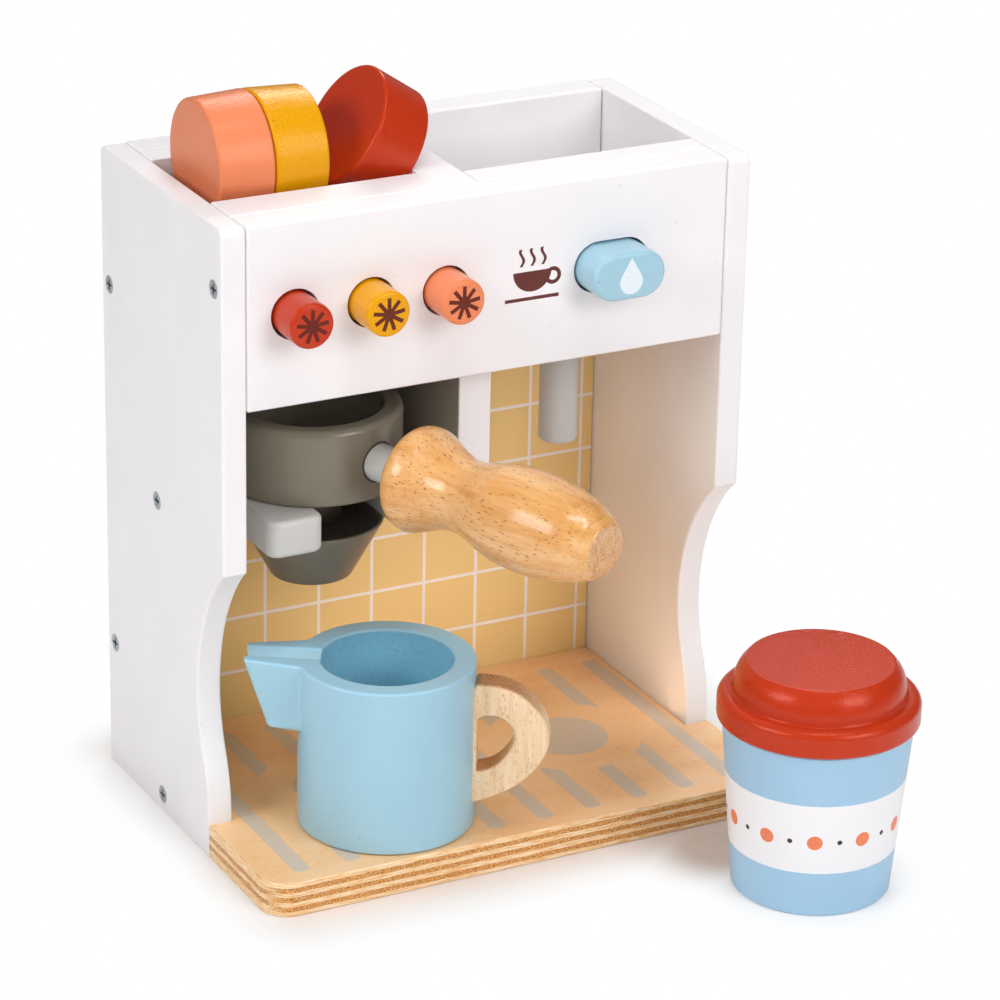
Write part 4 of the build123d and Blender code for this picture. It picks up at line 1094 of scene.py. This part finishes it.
class TOY_OT_jug(ToyOperator, bpy.types.Operator):
    """Make the jug with its spout, and its handle"""

    bl_idname = "toy.jug"
    bl_label = "Jug"

    def build(self, paints, shapes):
        centre = foot_of("jug_body")
        turn = math.radians(JUG_TURN)
        out = np.array((math.cos(turn), -math.sin(turn), 0))
        side = np.array((math.sin(turn), math.cos(turn), 0))
        blue = self.lacquer(paints, centre)
        points = self.vessel(shapes.jug_rounding / MM)
        points = centre - points[..., :1] * out + points[..., 1:2] * side + points[..., 2:] * UP
        dress(grid_piece("jug_vessel", points), blue, "jug", "blue_paint", "jug_body", "jug_spout")
        self.handle(centre, out, side, sanded_beech(paints))

    def lacquer(self, paints, centre):
        """Blue lacquer with painted light: a more saturated blue in the bowl for the light bounced
        inside it and a lighter blue on the rim's top for the light falling on it; the bowl is also
        hammered by the brush.
        """
        material, tree, shader = sprayed_lacquer("blue_lacquer", paints.blue, roughness=0.34,
                                                 relief=0.00009)
        vector, (x, y, z) = millimetres(tree)
        far = distance(tree, x, y, centre[:2])
        bowl = both(tree, add(tree, MATH, (far, BOWL_R + 0.4), operation="LESS_THAN"),
                    within(tree, z, centre[2] + 1, centre[2] + JUG_HEIGHT - 1.2))
        # Painted light: the bowl's more saturated blue stands for the light bounced inside it
        overprint(tree, shader, bowl, paints.bowl_painted_bounce_blue)
        rim = add(tree, MATH, (z, centre[2] + JUG_HEIGHT - 0.8), operation="GREATER_THAN")
        # Painted light: the rim's lighter blue stands for the light falling on its top
        overprint(tree, shader, rim, paints.rim_painted_light_blue)
        brushed = both(tree, bowl, stretched_noise(tree, vector, (1.6, 1.6, 1.6), detail=2.0))
        below = shader.inputs["Normal"].links[0].from_socket
        bump = add(tree, "Bump",
                   {"Height": brushed, "Distance": 0.0004, "Strength": 1.0, "Normal": below})
        tree.links.new(bump, shader.inputs["Normal"])
        return material

    def plan(self):
        """Outline of the rim, how its points slide and how much each belongs to the spout.

        The points are (towards the spout, across). They slide as the spout's front recedes.
        """
        slope = (SPOUT_ROOT[1] - SPOUT_TIP[1]) / (SPOUT_TIP[0] - SPOUT_ROOT[0])
        c = SPOUT_ROOT[1] + slope * SPOUT_ROOT[0]
        s = (c * slope + math.sqrt(JUG_R ** 2 * (1 + slope ** 2) - c ** 2)) / (1 + slope ** 2)
        joint = np.array((s, c - slope * s))
        before = joint + 6 * np.array((-joint[1], joint[0])) / JUG_R
        flank = rounded(((*before, 0), (*joint, 3.0), (*SPOUT_TIP, 2.2), (SPOUT_TIP[0], 0, 0)))[1:-1]
        lip = np.concatenate(((-GROOVE[0] - 0.5,), np.linspace(-GROOVE[0], GROOVE[0], 13),
                              (GROOVE[0] + 0.5,)))
        lip = np.column_stack((np.full(15, SPOUT_TIP[0]), lip))
        first = math.atan2(flank[0, 1], flank[0, 0])
        t = np.linspace(first, 2 * math.pi - first, 170)[1:-1]
        barrel = JUG_R * np.column_stack((np.cos(t), np.sin(t)))
        outline = np.concatenate((flank * (1, -1), lip, flank[::-1], barrel))
        at_root, at_tip = np.zeros((9, 2)), np.tile((1, -slope), (9, 1))
        moves = np.concatenate((at_root, at_tip))
        slide = np.concatenate((moves * (1, -1), np.tile((1, 0), (15, 1)), moves[::-1], 0 * barrel))
        share = np.concatenate((np.linspace(0, 1, 9), np.ones(33), np.linspace(1, 0, 9), 0 * t))
        return outline, slide, share

    def vessel(self, rounding):
        """Jug and spout as one skin of rows, from the underside out, up, in and down the bowl.

        A point is outline + (front(z) - tip) * slide + inset * inward; front(z) recedes in a straight
        line below the rim, and below the spout every column returns to the circle. Near the rim z is
        held under the groove's V, height - depth * (1 - |across| / half width).
        """
        outline, slide, share = self.plan()
        inward = inwards(outline)
        circle = outline.copy()
        circle[share > 0, 0] = np.sqrt(JUG_R ** 2 - outline[share > 0, 1] ** 2)
        a = np.linspace(0, math.pi / 2, 6)
        rise, turn_in = 1 - np.cos(a), 1 - np.sin(a)
        underside, foot = np.zeros(6), SPOUT_FOOT + 2.0 * rise
        wall = np.concatenate((np.linspace(46, 62, 5), np.linspace(63.2, 66.4, 7)))
        body_z = np.concatenate((rounding * rise, (20.0, 39.0), np.linspace(39.3, 42.0, 6), wall,
                                 JUG_HEIGHT - rounding * turn_in))
        spout_z = np.concatenate((rounding * rise, (20.0, SPOUT_FOOT), foot, wall,
                                  JUG_HEIGHT - rounding * turn_in))
        body_in = np.concatenate((rounding * turn_in, (0, 0), underside, 0 * wall, rounding * rise))
        spout_in = np.concatenate((rounding * turn_in, (0, 0), 2.0 * turn_in, 0 * wall, rounding * rise))
        spread = (np.arange(len(body_z)) > 7).astype(float)[:, None, None]
        dip = np.clip(1 - np.abs(outline[:, 1]) / GROOVE[0], 0, 1) * (outline[:, 0] > 0)
        cap = JUG_HEIGHT - GROOVE[1] * dip
        z = np.minimum(body_z[:, None] * (1 - share) + spout_z[:, None] * share, cap)
        inset = body_in[:, None] * (1 - share) + spout_in[:, None] * share
        front = -9.5 * np.clip((JUG_HEIGHT - z) / 26.6, 0, 1)
        flat = outline + front[..., None] * slide + inset[..., None] * inward
        base = circle * (1 - inset[..., None] / JUG_R)
        flat = base * (1 - spread) + flat * spread
        angle = np.where(outline[:, 0] > 0.8 * SPOUT_TIP[0],
                         np.arcsin(np.clip(outline[:, 1] / BOWL_R, -1, 1)),
                         np.arctan2(outline[:, 1], outline[:, 0]))
        unit = np.column_stack((np.cos(angle), np.sin(angle)))
        t = np.linspace(0, 1, 7)[1:, None, None]
        top = flat[-1] * (1 - t) + (BOWL_R + rounding) * unit * t
        bowl_r = np.concatenate((BOWL_R + rounding * turn_in[1:], np.full(12, BOWL_R),
                                 BOWL_R - 3 * rise, (0,)))
        bowl_z = np.concatenate((JUG_HEIGHT - rounding * rise[1:], np.linspace(66.4, 63.2, 7),
                                 np.linspace(62, 16, 5), JUG_FLOOR + 3 * turn_in, (JUG_FLOOR,)))
        bowl = bowl_r[:, None, None] * unit
        flat = np.concatenate((0 * flat[:1], flat, top, bowl))
        level = np.concatenate((0 * z[:1], z, np.minimum(JUG_HEIGHT, cap)[None].repeat(6, 0),
                                np.minimum(bowl_z[:, None], cap)))
        return np.concatenate((flat, level[..., None]), axis=2)

    def handle(self, centre, out, side, material):
        """Bent band: a rounded square section carried around between the outer and inner outlines."""
        outer_bow = curve_through((
            (34.9, 60.2), (44.5, 59.4), (50.6, 57.0), (55.6, 53.0), (60.0, 47.6), (62.6, 41.0),
            (62.9, 35.6), (60.9, 29.8), (57.0, 23.6), (51.4, 18.1), (44.7, 13.8), (38.3, 11.0),
            (31.9, 9.2)), 60)
        inner_bow = curve_through((
            (35.0, 44.6), (36.6, 45.9), (39.5, 46.7), (44.0, 46.0), (48.0, 42.6), (49.3, 37.4),
            (46.6, 31.0), (42.9, 26.8), (39.0, 24.6), (35.0, 23.7)), 60)
        strip = np.linspace(0, 1, 14)[1:-1, None]
        outer_strip = np.array((31.9, 9.2)) * (1 - strip) + np.array((31.9, 60.2)) * strip
        inner_strip = np.array((35.0, 23.7)) * (1 - strip) + np.array((35.0, 44.6)) * strip
        outer = np.concatenate((outer_bow, outer_strip))
        inner = np.concatenate((inner_bow, inner_strip))
        width = np.linalg.norm(outer - inner, axis=1)
        a = np.linspace(0, math.pi / 2, 6)
        soft = 1.4
        corner = np.column_stack((soft * (1 - np.sin(a)), soft * (1 - np.cos(a))))
        from_inner = np.concatenate((corner[:, 0], corner[::-1, 0]))
        thick = np.concatenate((corner[:, 1] - HANDLE_HALF_T, HANDLE_HALF_T - corner[::-1, 1]))
        share = from_inner[None] / width[:, None]
        inner_side = inner[:, None] + (outer - inner)[:, None] * share[..., None]
        outer_side = outer[:, None] - (outer - inner)[:, None] * share[..., None]
        flat = np.concatenate((inner_side, outer_side[:, ::-1]), axis=1)
        depth = np.concatenate((thick, thick[::-1]))
        points = centre + flat[..., :1] * out + depth[:, None] * side + flat[..., 1:] * UP
        piece = grid_piece("jug_handle_bent", points, along=True)
        dress(piece, material, "jug", "plain_beech", "jug_handle")


class TOY_OT_cup(ToyOperator, bpy.types.Operator):
    """Make the cup and its lid"""

    bl_idname = "toy.cup"
    bl_label = "Cup and lid"

    def build(self, paints, shapes):
        centre, height = foot_of("cup_body"), size_of("cup_body")[2]
        cup = rounded(((0, 8, 0), (25.6, 8, 2.0), (31.6, height, 0.8), (36.6, height, 0.8),
                       (30.5, 0, 1.2), (0, 0, 0)))
        dress(turned("cup_turned", cup, centre, steps=224), banded_cup_lacquer(paints), "cup",
              "cup_blue_and_white_paint", "cup_body")
        top = size_of("cup_lid")[2] - LID_PLUG
        dome = curve_through(((33.0, 11.9), (32.9, 14.5), (32.2, 17.6), (30.9, 20.4), (29.1, 22.6),
                              (28.3, top)), 24)
        rim = rounded(((0, -LID_PLUG, 0), (30.0, -LID_PLUG, 1.0), (30.6, 0, 0.3), (38.8, 0, 1.6),
                       (38.8, 11.2, 3.4), (33.6, 10.7, 0.6), (33.0, 11.9, 0)))
        profile = np.concatenate((rim[:-1], dome, ((27.6, top), (0, top))))
        red = sprayed_lacquer("red_lid_lacquer", paints.red, roughness=0.23, grain=(1.5, 1.5, 1.5),
                              relief=0.00012, dents=1.0, peel=0.7)[0]
        seat = (*centre[:2], foot_of("cup_lid")[2] + LID_PLUG)
        dress(turned("cup_lid_turned", profile, seat, steps=224), red, "lid", "red_paint", "cup_lid")


class TOY_OT_stage(ToyOperator, bpy.types.Operator):
    """Set the floor, the lamps, the world and the camera"""

    bl_idname = "toy.stage"
    bl_label = "Stage"

    def build(self, paints, shapes):
        self.floor()
        for name, (direction, size, power, in_gloss) in LAMPS.items():
            away = Vector(direction).normalized()
            place = Vector(TOY_MIDDLE) + LAMP_DISTANCE * away
            self.lamp(name, place, -away, size, power, in_gloss)
        warm = linear("#FFD0A0")[:3]
        self.lamp("board_bounce", *BOUNCE, False, warm)
        self.world()
        self.camera()

    def floor(self):
        """Plain pale floor that keeps the object's shadow and turns to white far away, with painted
        shade next to the board and a painted shadow between the board and the cup.
        """
        t = np.linspace(0, 2 * math.pi, 96, endpoint=False)
        r = np.linspace(0, 1, 24)[:, None] ** 1.5 * 6000
        points = np.stack((r * np.cos(t), r * np.sin(t), np.full((24, 96), -0.15)), -1)
        piece = grid_piece("floor", points)
        material, tree, shader = start("pale_floor", Roughness=0.9)
        vector, (x, y, _) = millimetres(tree)
        paper = stretched_noise(tree, vector, (60, 60, 60))
        tone = blend_colour(tree, paper, linear("#F7F7F7"), linear("#FBFBFB"))
        bright = add(tree, "Emission", {"Color": (1, 1, 1, 1), "Strength": 1.0})
        offsets = [add(tree, MATH, (offset,), operation="ABSOLUTE")
                   for offset in from_centre(tree, x, y, SHADE_MIDDLE)]
        from_board = box_distance(tree, offsets, SHADE_HALF)
        from_cup, from_shadow_patch = [
            add(tree, MATH, (distance(tree, x, y, centre), radius), operation="SUBTRACT")
            for centre, radius in (CUP_PATCH, PAINTED_GAP_SHADOW_PATCH)]
        near = add(tree, MATH, (from_board, from_cup), operation="MINIMUM")
        near = add(tree, MATH, (near, from_shadow_patch), operation="MINIMUM")
        far = add(tree, "MapRange", (near, 0.0, 38.0, 0.08, 1.0),
                  interpolation_type="SMOOTHSTEP")
        # Painted shade: the floor is drawn a warm grey next to the board
        warm = add(tree, "MapRange", (from_board, 0.0, 30.0))
        tone = blend_colour(tree, warm, linear("#EBE3DD"), tone)
        # Painted shadow: a darker warm patch is drawn between the board and the cup
        painted_gap_shadow = add(tree, "MapRange", (from_shadow_patch, 0.0, 36.0),
                  interpolation_type="SMOOTHSTEP")
        tree.links.new(blend_colour(tree, painted_gap_shadow, linear("#C4AFA1"), tone), shader.inputs["Base Color"])
        seen = add(tree, "LightPath", out="Is Camera Ray")
        factor = add(tree, MATH, (far, seen), operation="MULTIPLY")
        mixed = add(tree, "MixShader", (factor, shader.outputs[0], bright))
        tree.links.new(mixed, tree.nodes["Material Output"].inputs["Surface"])
        piece.data.materials.append(material)

    def lamp(self, name, place, aim, size, power, in_gloss=False, colour=(1, 1, 1)):
        """Soft box at a place, shining along its aim."""
        light = bpy.data.lights.new(name, "AREA")
        light.shape, light.energy, light.color = "RECTANGLE", power, colour
        light.size, light.size_y = size
        lamp = bpy.data.objects.new(name, light)
        lamp.location = place
        lamp.rotation_euler = Vector(aim).to_track_quat("-Z", "Y").to_euler()
        lamp.visible_camera, lamp.visible_glossy = False, in_gloss
        bpy.context.scene.collection.objects.link(lamp)

    def world(self):
        """Weak even light, a pale backdrop behind for the sheen, and white where it is seen."""
        world = bpy.data.worlds.new("studio")
        bpy.context.scene.world = world
        world.use_nodes = True
        tree = world.node_tree
        fill = tree.nodes["Background"]
        fill.inputs["Color"].default_value = (1, 1, 1, 1)
        fill.inputs["Strength"].default_value = FILL
        direction = add(tree, "TexCoord", out="Generated")
        behind = add(tree, "SeparateXYZ", (direction,), out="Y")
        glow = add(tree, "MapRange", (behind, 0.1, 0.7, 0.05, 0.18))
        backdrop = add(tree, "Background", {"Color": (1, 1, 1, 1), "Strength": glow})
        white = add(tree, "Background", {"Color": (1, 1, 1, 1), "Strength": 1.0})
        mirrored = add(tree, "LightPath", out="Is Glossy Ray")
        seen = add(tree, "LightPath", out="Is Camera Ray")
        mixed = add(tree, "MixShader", (mirrored, fill.outputs[0], backdrop))
        mixed = add(tree, "MixShader", (seen, mixed, white))
        tree.links.new(mixed, tree.nodes["World Output"].inputs["Surface"])

    def camera(self):
        """Camera in front, to the left and above, with the toy in the middle of the frame."""
        yaw, pitch, roll = (math.radians(a) for a in CAMERA_ANGLES)
        ahead = np.array((math.sin(yaw) * math.cos(pitch), math.cos(yaw) * math.cos(pitch),
                          -math.sin(pitch)))
        right = np.array((math.cos(yaw), -math.sin(yaw), 0))
        up = np.cross(right, ahead)
        rolled_right = math.cos(roll) * right + math.sin(roll) * up
        rolled_up = -math.sin(roll) * right + math.cos(roll) * up
        lens = bpy.data.cameras.new("camera")
        lens.lens, lens.sensor_width, lens.clip_end = CAMERA_LENS, 36.0, 50.0
        camera = bpy.data.objects.new("camera", lens)
        matrix = np.eye(4)
        matrix[:3, :3] = np.column_stack((rolled_right, rolled_up, -ahead))
        matrix[:3, 3] = CAMERA_PLACE
        camera.matrix_world = Matrix(matrix.tolist())
        bpy.context.scene.collection.objects.link(camera)
        bpy.context.scene.camera = camera
        bpy.context.scene.view_settings.view_transform = "Standard"


OPERATORS = (TOY_OT_cabinet, TOY_OT_spout, TOY_OT_fork, TOY_OT_filter_holder, TOY_OT_buttons,
             TOY_OT_pods, TOY_OT_jug, TOY_OT_cup, TOY_OT_stage)


class TOY_PT_panel(bpy.types.Panel):
    """Lists the toy's operators in the sidebar"""

    bl_idname = "TOY_PT_panel"
    bl_label = "Toy Coffee Maker"
    bl_space_type = "VIEW_3D"
    bl_region_type = "UI"
    bl_category = "Toy Coffee Maker"

    def draw(self, context):
        for operator in OPERATORS:
            self.layout.operator(operator.bl_idname)
        for group in (context.scene.toy_paints, context.scene.toy_shapes):
            for name in group.__annotations__:
                self.layout.prop(group, name)


CLASSES = (ToyPaints, ToyShapes, *OPERATORS, TOY_PT_panel)


def register():
    """Registers the settings, the operators and the panel."""
    for cls in CLASSES:
        bpy.utils.register_class(cls)
    bpy.types.Scene.toy_paints = PointerProperty(type=ToyPaints)
    bpy.types.Scene.toy_shapes = PointerProperty(type=ToyShapes)


def unregister():
    """Takes them away again."""
    del bpy.types.Scene.toy_shapes
    del bpy.types.Scene.toy_paints
    for cls in reversed(CLASSES):
        bpy.utils.unregister_class(cls)


def main():
    """Builds every piece in order."""
    register()
    for operator in OPERATORS:
        group, name = operator.bl_idname.split(".")
        getattr(getattr(bpy.ops, group), name)()


if __name__ == "__main__":
    main()
